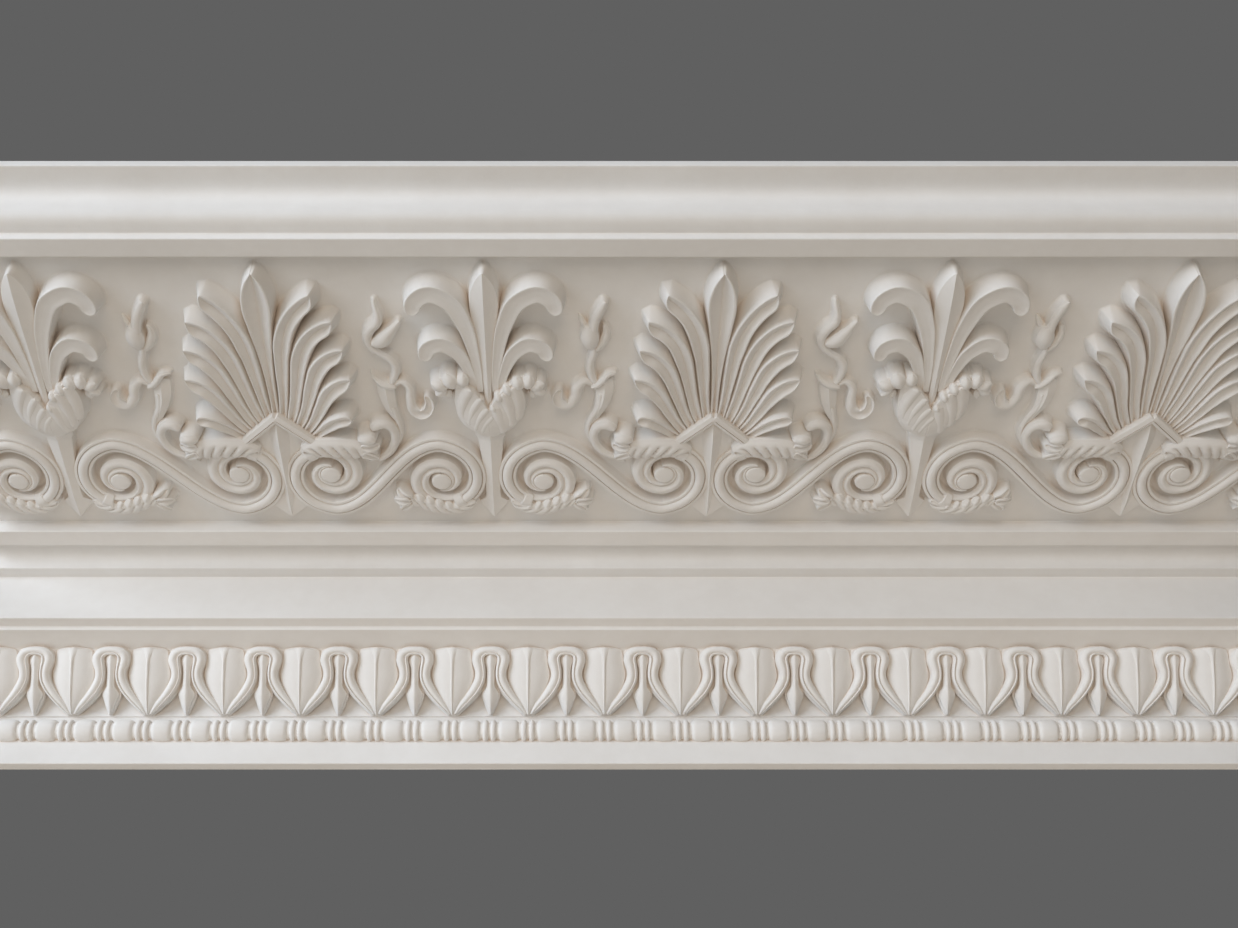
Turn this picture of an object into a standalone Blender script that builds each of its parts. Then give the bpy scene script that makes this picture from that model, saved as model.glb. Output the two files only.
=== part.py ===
"""Plaster cornice: one cast length with an anthemion frieze, a leaf-and-dart and a bead-and-reel.

The length lies along X, the front faces -Y and +Z is up, towards the ceiling.
The origin is the middle of the flat bed that lies against the wall.
Sizes are in millimetres and are turned into metres where the meshes are made.
"""

import math

import bmesh
import bpy
import numpy as np

MM = 0.001

# Overall cast
LENGTH = 646.0
WALL_BED = 48.0
CEILING_BED_START = 62.0

# Section, from the foot on the wall up and out to the ceiling edge
FOOT_OUT = 4.8
FOOT_HEIGHT = 12.0
ASTRAGAL_ROOM = 17.6
BED_LEDGE = 1.0
BED_RUN = 23.7
BED_RISE = 23.7
STEP_STRIP = 13.7
STEP_HEIGHT = 2.2
FASCIA_STRIP = 5.9
FASCIA_HEIGHT = 30.1
CAVETTO_STRIP = 6.2
CAVETTO_RADIUS = 7.6
CAVETTO_FLAT = 3.4
LOWER_FILLET_BACK = 3.0
LOWER_FILLET = 9.7
LOWER_FILLET_LIP = 8.2
FRIEZE_WIDTH = 155.9
FRIEZE_DRAFT = 1.0
FRIEZE_RECESS = 6.0
UPPER_FILLET = 9.4
CYMA_FILLET = 4.9
CYMA_RUN = 19.1
CYMA_RISE = 19.1
CROWN_STRIP = 3.8
CROWN_EDGE = 4.9
CURVE_STEPS = 4

# Frieze carving, drawn on a sheet of 209 along by 156 across that is stretched to the panel
SHEET_PITCH = 209.0
SHEET_WIDTH = 155.9
MOTIF_PITCH = 209.0
PALMETTE_AT = 44.0
BELL_AFTER_PALMETTE = 102.0
RELIEF = 11.0
BAND_RELIEF = 6.5
TENDRIL_RELIEF = 4.5
ROOT_DEPTH = 1.6
SIDE_DRAFT = 0.5

# Form of a carved stroke: height of its two edges as a share of the height of its middle
RIDGE = 0.0
FLAT_TOP = 1.0
PALMETTE_GROOVE = 1.18
KITE_SWELL = 0.35
BELL_SPEAR_SWELL = 0.75
BELL_STEM_SWELL = 0.45
CALYX_SWELL = 0.78

# Bed mould carving, drawn on a sheet of 38.2 along by 33.5 down the slope
BED_SHEET_PITCH = 38.2
BED_SHEET_SLOPE = 33.5
LEAF_PITCH = 38.2
LEAF_AT = 11.6
LEAF_RELIEF = 4.2

# Bead-and-reel, two beads to each leaf
ASTRAGAL_RADIUS = 5.4
ASTRAGAL_FORWARD = 1.2
ASTRAGAL_BELOW_BED = 10.2
BEAD_LENGTH = 10.8
BEAD_ROUNDING = 1.5
BEAD_GAP = 0.1
BEAD_NECK = 0.7
REELS_LENGTH = 6.0
REEL_EXTRA = 0.3
FACET_REACH = 0.8
FACET_HALF = 0.6

# Plain moulding past each end before the square cut, and the tidying of the joined skin
END_OVERRUN = 40.0
WELD = 0.004
FLAT_ANGLE = 0.035

PLASTER_COLOUR = (0.79, 0.77, 0.73, 1.0)
PLASTER_ROUGHNESS = 0.8


# Section of the cast, as points (out from the wall, height above the foot)
def section(curve_steps):
    """Closed outline of the section, and the corners that the carving is set on."""
    pen = [(0.0, 0.0), (FOOT_OUT, 0.0)]
    marks = {}

    def go(out, up):
        pen.append((pen[-1][0] + out, pen[-1][1] + up))

    def bend(out, up, starts_level):
        start = pen[-1]
        for step in range(1, curve_steps + 1):
            angle = math.pi / 2.0 * step / curve_steps
            shares = (math.sin(angle), 1.0 - math.cos(angle))
            if not starts_level:
                shares = shares[::-1]
            pen.append((start[0] + out * shares[0], start[1] + up * shares[1]))

    go(0.0, FOOT_HEIGHT + ASTRAGAL_ROOM)
    go(BED_LEDGE, 0.0)
    marks["bed_foot"] = pen[-1]
    go(BED_RUN, BED_RISE)
    marks["bed_top"] = pen[-1]
    go(STEP_STRIP, 0.0)
    go(0.0, STEP_HEIGHT)
    go(FASCIA_STRIP, 0.0)
    go(0.0, FASCIA_HEIGHT)
    go(CAVETTO_STRIP, 0.0)
    bend(CAVETTO_RADIUS, CAVETTO_RADIUS, False)
    go(CAVETTO_FLAT, 0.0)
    go(0.0, -LOWER_FILLET_BACK)
    go(LOWER_FILLET, 0.0)
    go(0.0, LOWER_FILLET_LIP)
    marks["frieze"] = pen[-1]
    go(FRIEZE_WIDTH, 0.0)
    go(FRIEZE_DRAFT, -FRIEZE_RECESS)
    go(UPPER_FILLET, 0.0)
    go(0.0, CYMA_FILLET)
    bend(CYMA_RUN / 2.0, CYMA_RISE / 2.0, True)
    bend(CYMA_RUN / 2.0, CYMA_RISE / 2.0, False)
    go(CROWN_STRIP, 0.0)
    go(0.0, CROWN_EDGE)
    marks["ceiling"] = pen[-1]
    pen.append((CEILING_BED_START, pen[-1][1]))
    pen.append((0.0, WALL_BED))
    return pen, marks


OUTLINE, MARKS = section(CURVE_STEPS)


def place(along, out, height):
    """World position in metres of a point of the section."""
    return np.stack([along, -out, height - WALL_BED / 2.0], axis=-1) * MM


def repeats(first, pitch, reach):
    """Positions first + n * pitch that lie within this reach of the middle of the length."""
    lowest = math.ceil((-reach - first) / pitch)
    highest = math.floor((reach - first) / pitch)
    return [first + step * pitch for step in range(lowest, highest + 1)]


# Skins
def loft(rings):
    """Closed skin through rings with the same number of points, with a flat cap on each end."""
    rings = np.asarray(rings)
    count, around = rings.shape[:2]
    faces = [tuple(range(around))[::-1], tuple(range((count - 1) * around, count * around))]
    for row in range(count - 1):
        for column in range(around):
            after = (column + 1) % around
            near = row * around
            far = near + around
            faces.append((near + column, near + after, far + after, far + column))
    return rings.reshape(-1, 3), faces


def stroke(rows, to_world, shoulder, root=0.0):
    """Raised stroke along rows of (across, up, half width, height) on a carved face.

    The shoulder is the height of the two edges as a share of the middle: a ridge has none,
    less than a flat top gives a swelling, and more a groove. The root is how far the foot is sunk.
    """
    rows = np.asarray(rows, dtype=float)
    direction = np.gradient(rows[:, :2], axis=0)
    direction /= np.linalg.norm(direction, axis=1)[:, None]
    sideways = np.stack([-direction[:, 1], direction[:, 0]], axis=1)
    middle, half, height = rows[:, :2], rows[:, 2:3], rows[:, 3]
    foot = half + SIDE_DRAFT
    sunk = np.full(len(rows), -root)
    corners = [(middle + sideways * foot, sunk)]
    if shoulder != RIDGE:
        corners.append((middle + sideways * half, height * shoulder))
    if shoulder != FLAT_TOP:
        corners.append((middle, height))
    if shoulder != RIDGE:
        corners.append((middle - sideways * half, height * shoulder))
    corners.append((middle - sideways * foot, sunk))
    rings = np.stack([to_world(flat[:, 0], flat[:, 1], up) for flat, up in corners], axis=1)
    return loft(rings)


# Frieze carving
def frieze(axis, side):
    """Map from the frieze sheet to the world for a motif on this axis; side -1 is its mirror image."""
    def to_world(across, up, height):
        along = axis + side * across * MOTIF_PITCH / SHEET_PITCH
        out = MARKS["frieze"][0] + up * FRIEZE_WIDTH / SHEET_WIDTH
        return place(along, out, MARKS["frieze"][1] - height)
    return to_world


def bezier(points, count):
    """Cubic curve from four points."""
    share = np.linspace(0.0, 1.0, count)[:, None]
    start, first, second, end = (np.asarray(point, dtype=float) for point in points)
    return (start * (1.0 - share) ** 3 + 3.0 * first * share * (1.0 - share) ** 2
            + 3.0 * second * share ** 2 * (1.0 - share) + end * share ** 3)


PALMETTE_TIPS = ((25.7, 137.5), (33.4, 123.2), (36.6, 107.8), (38.4, 91.6), (36.6, 70.5))
PALMETTE_TIP_TURNS = (48.0, 58.0, 62.0, 64.0, 95.0)
PALMETTE_BASE_TURN = 9.5
PALMETTE_BASE = (0.0, 72.5)
PALMETTE_BASE_STEP = (3.4, -3.0)
PALMETTE_HALF_WIDTHS = (1.1, 2.1, 3.9, 1.3)
PALMETTE_HEIGHTS = (0.45, 0.72, 1.0, 0.92)
LEAF_LEAVE_SHARE = 0.45
LEAF_ARRIVE_SHARE = 0.35
PALMETTE_SPEAR =((0.0, 72.0, 1.8, 0.45), (0.0, 110.0, 3.4, 0.75), (0.0, 136.0, 6.0, 0.95),
                  (0.0, 149.0, 0.8, 0.9))


def palmette_leaf(index):
    """One side leaf, counted from the spear outwards: it fans from the apex and curls out at its tip."""
    base = np.array(PALMETTE_BASE) + index * np.array(PALMETTE_BASE_STEP)
    tip = np.array(PALMETTE_TIPS[index - 1])
    leave = math.radians(PALMETTE_BASE_TURN * index)
    arrive = math.radians(PALMETTE_TIP_TURNS[index - 1])
    span = np.linalg.norm(tip - base)
    first = base + LEAF_LEAVE_SHARE * span * np.array([math.sin(leave), math.cos(leave)])
    second = tip - LEAF_ARRIVE_SHARE * span * np.array([math.sin(arrive), math.cos(arrive)])
    line = bezier((base, first, second, tip), len(PALMETTE_HALF_WIDTHS))
    heights = RELIEF * np.array(PALMETTE_HEIGHTS)
    return np.column_stack([line, PALMETTE_HALF_WIDTHS, heights])


def raised(rows, relief):
    """Rows whose last column is a share of the relief, as rows with heights."""
    rows = np.array(rows, dtype=float)
    rows[:, 3] *= relief
    return rows


KITE = ((0.0, 71.0, 0.8, 0.55), (0.0, 57.0, 13.5, 0.72), (0.0, 41.0, 6.0, 0.6), (0.0, 17.5, 2.4, 0.36),
        (0.0, 15.4, 7.4, 0.28), (0.0, 9.0, 0.6, 0.1))
KITE_RIM = ((0.0, 71.5, 1.8, 0.75), (17.5, 55.8, 1.8, 0.72))


def palmette(axis):
    """Eleven-leaved palmette over a gable-shaped kite."""
    shapes = [stroke(raised(PALMETTE_SPEAR, RELIEF), frieze(axis, 1), PALMETTE_GROOVE)]
    for side in (-1, 1):
        to_world = frieze(axis, side)
        for index in range(1, len(PALMETTE_TIPS) + 1):
            shapes.append(stroke(palmette_leaf(index), to_world, PALMETTE_GROOVE))
        shapes.append(stroke(raised(KITE_RIM, RELIEF), to_world, FLAT_TOP))
    shapes.append(stroke(raised(KITE, RELIEF), frieze(axis, 1), KITE_SWELL))
    return shapes


BELL_SPEAR = ((0.0, 76.0, 1.6, 0.75), (0.0, 110.0, 3.4, 0.88), (0.0, 137.0, 6.2, 1.0),
              (0.0, 150.5, 0.8, 0.85))
UPPER_HOOK = ((4.4, 86.0, 1.5, 0.65), (7.4, 115.0, 2.7, 0.85), (14.5, 135.0, 3.6, 1.0),
              (25.0, 140.6, 3.9, 1.0), (31.6, 135.0, 3.6, 0.95), (31.0, 129.5, 1.8, 0.9))
LOWER_HOOK = ((6.6, 84.0, 1.5, 0.6), (11.0, 104.5, 2.8, 0.85), (20.0, 113.8, 3.6, 0.95),
              (27.0, 111.0, 3.4, 0.95), (26.6, 104.0, 1.6, 0.85))
CALYX_HALF = ((2.0, 59.5, 3.0, 0.7), (6.4, 69.0, 7.0, 0.92), (10.0, 83.0, 6.8, 1.05),
              (17.0, 92.4, 4.6, 1.0), (24.0, 88.6, 3.4, 0.85))
BELL_STEM = ((0.0, 58.0, 7.0, 0.6), (0.0, 38.0, 4.4, 0.5), (0.0, 17.5, 2.5, 0.38),
             (0.0, 15.8, 6.3, 0.28), (0.0, 9.8, 0.6, 0.1))


def bellflower(axis):
    """Spear and two pairs of hooked petals rising from a leafy cup on a pointed stem."""
    upright = frieze(axis, 1)
    shapes = [stroke(raised(BELL_SPEAR, RELIEF), upright, BELL_SPEAR_SWELL)]
    shapes.append(stroke(raised(BELL_STEM, RELIEF), upright, BELL_STEM_SWELL))
    for side in (-1, 1):
        to_world = frieze(axis, side)
        shapes.append(stroke(raised(UPPER_HOOK, RELIEF), to_world, FLAT_TOP))
        shapes.append(stroke(raised(LOWER_HOOK, RELIEF), to_world, FLAT_TOP))
        shapes.append(stroke(raised(CALYX_HALF, RELIEF), to_world, CALYX_SWELL))
    return shapes


# Scrolls: every volute is the same spiral, and an S-shaped band joins each palmette to its neighbours
PALMETTE_VOLUTE = (22.5, 35.0)
BELL_VOLUTE = (25.2, 30.6)
VOLUTE_RADIUS = 22.3
VOLUTE_SHRINK = 0.79
VOLUTE_QUARTERS = 4.0
VOLUTE_STEPS = 9
VOLUTE_NARROWING = 0.8
VOLUTE_EYE = 5.2
EYE_SIDES = 6
BAND_HALF_WIDTH = 4.0
BAND_HANDLE = 21.0
BAND_LINK_STEPS = 5


def volute(centre, rising):
    """Spiral that starts under (or over, when falling) its centre and closes by a share each quarter."""
    quarter = np.linspace(0.0, VOLUTE_QUARTERS, VOLUTE_STEPS)
    radius = VOLUTE_RADIUS * VOLUTE_SHRINK ** quarter
    turn = quarter * math.pi / 2.0
    up = -np.cos(turn) if rising else np.cos(turn)
    line = np.stack([centre[0] - radius * np.sin(turn), centre[1] + radius * up], axis=1)
    half = BAND_HALF_WIDTH * np.minimum(1.0, radius / (VOLUTE_NARROWING * VOLUTE_RADIUS))
    return np.column_stack([line, half, np.full(VOLUTE_STEPS, BAND_RELIEF)])


def scroll_band(distance):
    """Band from the eye of a palmette's volute to the eye of the volute of a bellflower this far away."""
    rise = volute(PALMETTE_VOLUTE, True)
    fall = volute(BELL_VOLUTE, False)
    fall[:, 0] = distance - fall[:, 0]
    start, end = rise[0], fall[0]
    handle = np.array([BAND_HANDLE, 0.0])
    link = bezier((start[:2], start[:2] + handle, end[:2] - handle, end[:2]), BAND_LINK_STEPS)[1:-1]
    width_and_height = np.tile(start[2:], (len(link), 1))
    return np.vstack([rise[::-1], np.hstack([link, width_and_height]), fall])


def eye(centre, to_world):
    """Boss in the middle of a volute."""
    angle = np.arange(EYE_SIDES) * 2.0 * math.pi / EYE_SIDES
    rings = []
    for radius, height in ((VOLUTE_EYE + SIDE_DRAFT, 0.0), (VOLUTE_EYE, BAND_RELIEF)):
        rings.append(to_world(centre[0] + radius * np.cos(angle), centre[1] + radius * np.sin(angle),
                              np.full(EYE_SIDES, height)))
    return loft(rings)


PALMETTE_HUSK = ((9.0, 46.0, 2.4, 0.6), (20.0, 51.0, 6.0, 0.75), (38.0, 51.0, 7.0, 0.78),
                 (46.0, 57.5, 4.4, 0.75))
BELL_HUSK = ((9.5, 19.5, 2.4, 0.55), (20.0, 15.4, 4.6, 0.63), (36.0, 17.0, 4.2, 0.65),
             (51.0, 19.0, 5.0, 0.55))


def scrolls(palmette_axis, side):
    """Band, eyes and leafy husks between a palmette and the bellflower on this side of it."""
    gap = BELL_AFTER_PALMETTE if side > 0 else SHEET_PITCH - BELL_AFTER_PALMETTE
    near = frieze(palmette_axis, side)
    far = frieze(palmette_axis + side * gap * MOTIF_PITCH / SHEET_PITCH, -side)
    shapes = [stroke(scroll_band(gap), near, FLAT_TOP)]
    shapes.append(eye(PALMETTE_VOLUTE, near))
    shapes.append(eye(BELL_VOLUTE, far))
    shapes.append(stroke(raised(PALMETTE_HUSK, RELIEF), near, FLAT_TOP))
    shapes.append(stroke(raised(BELL_HUSK, RELIEF), far, FLAT_TOP))
    return shapes


# Tendrils: a stem with a horn, a curl and a bud; the bud differs on the two sides of a palmette
STEM = ((56.8, 58.0, 1.5, 0.8), (53.2, 79.0, 2.2, 1.0), (56.6, 92.0, 1.8, 0.9), (54.6, 105.5, 1.6, 0.8))
HORN = ((56.6, 60.0, 1.3, 0.7), (52.4, 79.0, 3.8, 0.95), (50.6, 90.0, 4.8, 0.85))
CURL = ((56.0, 87.0, 1.5, 0.7), (63.0, 88.0, 2.0, 0.8), (65.6, 75.0, 2.4, 0.9), (71.0, 71.8, 2.9, 1.0),
        (72.0, 80.5, 1.2, 0.8))
BASE_CURL = ((46.2, 59.0, 1.8, 0.8), (49.4, 67.0, 2.6, 1.0), (56.8, 58.0, 2.7, 1.0), (52.0, 46.6, 2.4, 0.9),
             (42.0, 41.4, 1.3, 0.8))
CLOSED_BUD = (((54.4, 104.0, 1.6, 0.8), (54.8, 112.5, 4.8, 1.2), (53.6, 121.5, 3.4, 1.1),
               (50.2, 133.4, 0.9, 0.6)),
              ((56.4, 116.0, 2.6, 0.8), (62.1, 124.8, 0.6, 0.3)))
SPLIT_BUD = (((54.6, 104.5, 1.6, 0.8), (47.6, 112.0, 2.4, 1.0), (52.2, 123.0, 1.9, 0.9),
              (51.8, 133.2, 0.8, 0.6)),
             ((50.0, 110.6, 1.6, 0.8), (55.2, 115.4, 3.8, 1.2), (62.6, 122.8, 1.0, 0.6)))


def tendril(axis, side):
    """Stem between a palmette and its neighbour, on this side of the palmette."""
    to_world = frieze(axis, side)
    buds = SPLIT_BUD if side > 0 else CLOSED_BUD
    return [stroke(raised(rows, TENDRIL_RELIEF), to_world, RIDGE)
            for rows in (STEM, HORN, CURL, BASE_CURL) + buds]


# Leaf-and-dart on the sloping bed mould
STRAP_SIDE = ((18.2, 32.4, 0.6, 0.6), (5.6, 16.0, 2.0, 1.0), (7.0, 5.6, 2.3, 1.0))
STRAP_HEAD = ((0.0, 1.4, 2.0, 1.0),)
DART = ((0.0, 5.6, 2.4, 0.9), (0.0, 20.0, 2.6, 0.8), (0.0, 32.0, 0.5, 0.5))
WATER_LEAF = ((19.1, 1.2, 6.4, 0.85), (19.1, 11.0, 9.0, 1.0), (19.1, 29.5, 1.2, 0.5))


def bed_mould(axis):
    """Map from the sheet of the bed mould to the world, with distances down the slope from its top."""
    top = np.array(MARKS["bed_top"])
    slope = np.array(MARKS["bed_foot"]) - top
    outward = np.array([-slope[1], slope[0]]) / np.linalg.norm(slope)

    def to_world(across, down, height):
        along = axis + across * LEAF_PITCH / BED_SHEET_PITCH
        share = down / BED_SHEET_SLOPE
        out = top[0] + slope[0] * share + outward[0] * height
        return place(along, out, top[1] + slope[1] * share + outward[1] * height)
    return to_world


def leaf_and_dart(axis):
    """One looped strap round a dart, and the water leaf that follows it."""
    other_side = tuple((-across, down, half, share) for across, down, half, share in STRAP_SIDE[::-1])
    strap = STRAP_SIDE + STRAP_HEAD + other_side
    to_world = bed_mould(axis)
    return [stroke(raised(rows, LEAF_RELIEF), to_world, RIDGE, ROOT_DEPTH)
            for rows in (strap, DART, WATER_LEAF)]


# Bead-and-reel, as one turned string along the upright face above the foot
def bead_and_reel(reach):
    """String of barrel beads parted by pairs of reels, from end to end of this reach."""
    bead_end = BEAD_LENGTH / 2.0
    reel_end = LEAF_PITCH / 4.0 - REELS_LENGTH / 2.0
    stops = np.array([-bead_end - BEAD_GAP, -bead_end + BEAD_ROUNDING, bead_end - BEAD_ROUNDING,
                      bead_end + BEAD_GAP, reel_end, LEAF_PITCH / 2.0 - reel_end])
    radii = ASTRAGAL_RADIUS * np.array([BEAD_NECK, 1.0, 1.0, BEAD_NECK, 1.0, 1.0])
    radii[-2:] += REEL_EXTRA
    middle = FOOT_HEIGHT + ASTRAGAL_ROOM - ASTRAGAL_BELOW_BED
    edge = ASTRAGAL_RADIUS + REEL_EXTRA
    rings = []
    for start in repeats(LEAF_AT + LEAF_PITCH / 4.0, LEAF_PITCH / 2.0, reach):
        for stop, radius in zip(start + stops, radii):
            front = FOOT_OUT + ASTRAGAL_FORWARD + FACET_REACH * radius
            out = np.array([FOOT_OUT, front, front, FOOT_OUT])
            height = middle + np.array([-edge, -FACET_HALF * radius, FACET_HALF * radius, edge])
            rings.append(place(np.full(4, stop), out, height))
    return loft(rings)


# Building the cast
def carving():
    """Every carved shape that touches the length, as a list of closed skins."""
    shapes = []
    half = LENGTH / 2.0
    for axis in repeats(PALMETTE_AT, MOTIF_PITCH, half + MOTIF_PITCH):
        bell = axis + BELL_AFTER_PALMETTE * MOTIF_PITCH / SHEET_PITCH
        shapes += palmette(axis) + bellflower(bell)
        for side in (-1, 1):
            shapes += scrolls(axis, side) + tendril(axis, side)
    for axis in repeats(LEAF_AT, LEAF_PITCH, half + LEAF_PITCH):
        shapes += leaf_and_dart(axis)
    shapes.append(bead_and_reel(half + LEAF_PITCH))
    return [shape for shape in shapes if np.abs(shape[0][:, 0]).min() < half * MM]


def add_object(name, skins, triangulated):
    """Object whose mesh holds these closed skins, each with its faces turned outwards."""
    shape = bmesh.new()
    for vertices, faces in skins:
        points = [shape.verts.new(vertex) for vertex in vertices]
        for face in faces:
            shape.faces.new([points[index] for index in face])
    bmesh.ops.recalc_face_normals(shape, faces=shape.faces)
    if triangulated:
        bmesh.ops.triangulate(shape, faces=shape.faces)
    mesh = bpy.data.meshes.new(name)
    shape.to_mesh(mesh)
    shape.free()
    thing = bpy.data.objects.new(name, mesh)
    bpy.context.scene.collection.objects.link(thing)
    return thing


def add_boolean(thing, other, operation, crossing):
    """Exact Boolean of a thing with another object, which is kept out of the finished model."""
    boolean = thing.modifiers.new(operation.title(), "BOOLEAN")
    boolean.solver = "EXACT"
    boolean.operation = operation
    boolean.object = other
    boolean.use_self = crossing
    other.display_type = "WIRE"
    other.hide_render = True


def run_length(outline, half_length):
    """Plain moulding of this section, from end to end."""
    out, height = np.array(outline).T
    return loft([place(np.full(len(out), end), out, height) for end in (-half_length, half_length)])


def end_cut():
    """Block that keeps the length between its two square ends."""
    reach = MARKS["ceiling"][0] + MARKS["ceiling"][1]
    block = ((-reach, -reach), (reach, -reach), (reach, reach), (-reach, reach))
    return run_length(block, LENGTH / 2.0)


def tidy(thing):
    """Replace the object's mesh with its finished one, welded where the joining left slivers."""
    depsgraph = bpy.context.evaluated_depsgraph_get()
    finished = bpy.data.meshes.new_from_object(thing.evaluated_get(depsgraph))
    thing.modifiers.clear()
    shape = bmesh.new()
    shape.from_mesh(finished)
    bmesh.ops.remove_doubles(shape, verts=shape.verts, dist=WELD * MM)
    bmesh.ops.dissolve_limit(shape, angle_limit=FLAT_ANGLE, verts=shape.verts, edges=shape.edges)
    bmesh.ops.triangulate(shape, faces=shape.faces)
    bmesh.ops.dissolve_degenerate(shape, edges=shape.edges, dist=WELD * MM)
    shape.to_mesh(finished)
    shape.free()
    thing.data = finished


def plaster():
    """Matt white plaster."""
    material = bpy.data.materials.new("matt_white_plaster")
    material.use_nodes = True
    shader = material.node_tree.nodes["Principled BSDF"]
    shader.inputs["Base Color"].default_value = PLASTER_COLOUR
    shader.inputs["Roughness"].default_value = PLASTER_ROUGHNESS
    return material


def build():
    """The whole cast as one closed body."""
    for thing in list(bpy.data.objects):
        bpy.data.objects.remove(thing)
    cornice = add_object("plaster_cornice", [run_length(OUTLINE, LENGTH / 2.0 + END_OVERRUN)], False)
    ornament = add_object("carving_to_join", carving(), True)
    ends = add_object("square_ends", [end_cut()], False)
    add_boolean(cornice, ornament, "UNION", True)
    add_boolean(cornice, ends, "INTERSECT", False)
    tidy(cornice)
    cornice.data.materials.clear()
    cornice.data.materials.append(plaster())


build()
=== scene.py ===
"""Cast plaster cornice with a palmette and bellflower frieze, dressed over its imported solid.

Sizes are in millimetres until a point is placed. Along is +X, out from the wall is -Y and up is +Z.
"""

import math

import bmesh
import bpy
import numpy as np
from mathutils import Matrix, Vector


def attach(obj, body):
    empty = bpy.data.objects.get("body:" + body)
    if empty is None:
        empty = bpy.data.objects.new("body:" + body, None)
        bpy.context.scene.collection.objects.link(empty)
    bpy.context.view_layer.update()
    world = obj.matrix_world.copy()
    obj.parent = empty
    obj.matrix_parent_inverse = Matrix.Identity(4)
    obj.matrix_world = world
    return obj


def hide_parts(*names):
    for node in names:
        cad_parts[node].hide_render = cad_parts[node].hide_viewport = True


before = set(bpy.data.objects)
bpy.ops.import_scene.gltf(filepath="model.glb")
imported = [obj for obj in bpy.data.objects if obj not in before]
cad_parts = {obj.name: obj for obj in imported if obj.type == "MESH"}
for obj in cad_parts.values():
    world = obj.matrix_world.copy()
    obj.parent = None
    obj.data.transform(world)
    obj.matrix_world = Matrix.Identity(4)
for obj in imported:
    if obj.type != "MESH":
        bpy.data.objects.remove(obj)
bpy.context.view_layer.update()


# The run of plain mouldings
# The body of the cast: crown, cyma, fillets, sunk frieze ground, cavetto, fascia, step, bed mould and foot.
# Gypsum plaster poured into a flexible mould, struck off behind by hand and sawn square at its two ends.
MM = 0.001
LENGTH = 646.0
WALL_BED = 48.0
CEILING_BED_START = 62.0
FOOT_OUT = 4.8
FOOT_FACE = 29.6
BED_LEDGE = 1.0
BED_RUN = 23.7
BED_COVE = ((0.3, 3.0), (1.4, 6.0), (3.9, 9.2), (8.6, 12.8))
STEP_STRIP = 13.7
STEP_HEIGHT = 2.2
FASCIA_STRIP = 5.9
FASCIA_HEIGHT = 30.1
CAVETTO_STRIP = 6.2
CAVETTO_RADIUS = 7.6
CAVETTO_FLAT = 3.4
LOWER_FILLET_BACK = 3.0
LOWER_FILLET = 9.7
LOWER_FILLET_LIP = 8.2
FRIEZE_WIDTH = 155.9
FRIEZE_DRAFT = 1.0
FRIEZE_RECESS = 6.0
UPPER_FILLET = 9.4
CYMA_FILLET = 4.9
CYMA_SIZE = 19.1
CROWN_STRIP = 3.8
CROWN_EDGE = 4.9
CURVE_STEPS = 14
BULGE_SQUARENESS = 3.2
HOLLOW_SQUARENESS = 3.4
CAVETTO_SQUARENESS = 2.6
SOFT_CORNER = 0.55
SHARP_TURN = 0.35
LONGEST_SPAN = 6.5
STATION_PITCH = 5.0
RUN_SWAY = 0.07
RUN_SWAY_LENGTH = 190.0
FACE_SWAY = 0.025
FACE_SWAY_LENGTH = 60.0
BACK_SWAY = 0.7
BACK_SWAY_LENGTH = 26.0
BACK_LEAN = 1.18
BACK_MARGIN = 3.0
BED_MARGIN = 2.0
BED_BLEND = 4.0
STILL_EDGE = 0.5
CREASE_ANGLE = 48.0

PLASTER_LIGHT = "ecebe9"
PLASTER_DEEP = "e5e3e0"
# Warm brown mixed into deep corners as painted shade, partly standing for dust
PLASTER_CORNER_SHADE_AND_DUST = "d4b28a"
BACK_LIGHT = "e4e1db"
BACK_DEEP = "d3cfc7"
FIBRE_COLOUR = "c4b494"


def section():
    """Outline of the cast as a walk of a pen, and the corners that the carving is set on.

    A quarter curve that starts level is (sin a to the power 2/n, 1 - cos a to the power 2/n), where n is its
    squareness and 2 makes it round. One that starts upright has the two swapped.
    """
    def quarter(squareness):
        angle = np.linspace(0.0, math.pi / 2.0, CURVE_STEPS + 1)[1:]
        power = 2.0 / squareness
        return np.stack([np.sin(angle) ** power, 1.0 - np.cos(angle) ** power], axis=1)

    pen = [np.array([[0.0, 0.0], [FOOT_OUT, 0.0], [FOOT_OUT, FOOT_FACE], [FOOT_OUT + BED_LEDGE, FOOT_FACE]])]

    def go(out, up):
        pen.append(pen[-1][-1:] + np.array([[out, up]]))
        return pen[-1][-1]

    marks = {"bed_foot": pen[-1][-1]}
    pen.append(pen[-1][-1] + np.array(BED_COVE))
    marks["bed_top"] = go(BED_RUN - BED_COVE[-1][0], BED_RUN - BED_COVE[-1][1])
    go(STEP_STRIP, 0.0)
    go(0.0, STEP_HEIGHT)
    go(FASCIA_STRIP, 0.0)
    go(0.0, FASCIA_HEIGHT)
    go(CAVETTO_STRIP, 0.0)
    pen.append(pen[-1][-1] + CAVETTO_RADIUS * quarter(CAVETTO_SQUARENESS)[:, ::-1])
    go(CAVETTO_FLAT, 0.0)
    go(0.0, -LOWER_FILLET_BACK)
    go(LOWER_FILLET, 0.0)
    marks["frieze"] = go(0.0, LOWER_FILLET_LIP)
    go(FRIEZE_WIDTH, 0.0)
    go(FRIEZE_DRAFT, -FRIEZE_RECESS)
    go(UPPER_FILLET, 0.0)
    go(0.0, CYMA_FILLET)
    pen.append(pen[-1][-1] + CYMA_SIZE / 2.0 * quarter(BULGE_SQUARENESS))
    pen.append(pen[-1][-1] + CYMA_SIZE / 2.0 * quarter(HOLLOW_SQUARENESS)[:, ::-1])
    go(CROWN_STRIP, 0.0)
    marks["ceiling"] = go(0.0, CROWN_EDGE)
    pen.append(np.array([[CEILING_BED_START, marks["ceiling"][1]], [0.0, WALL_BED]]))
    return np.concatenate(pen), marks


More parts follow.
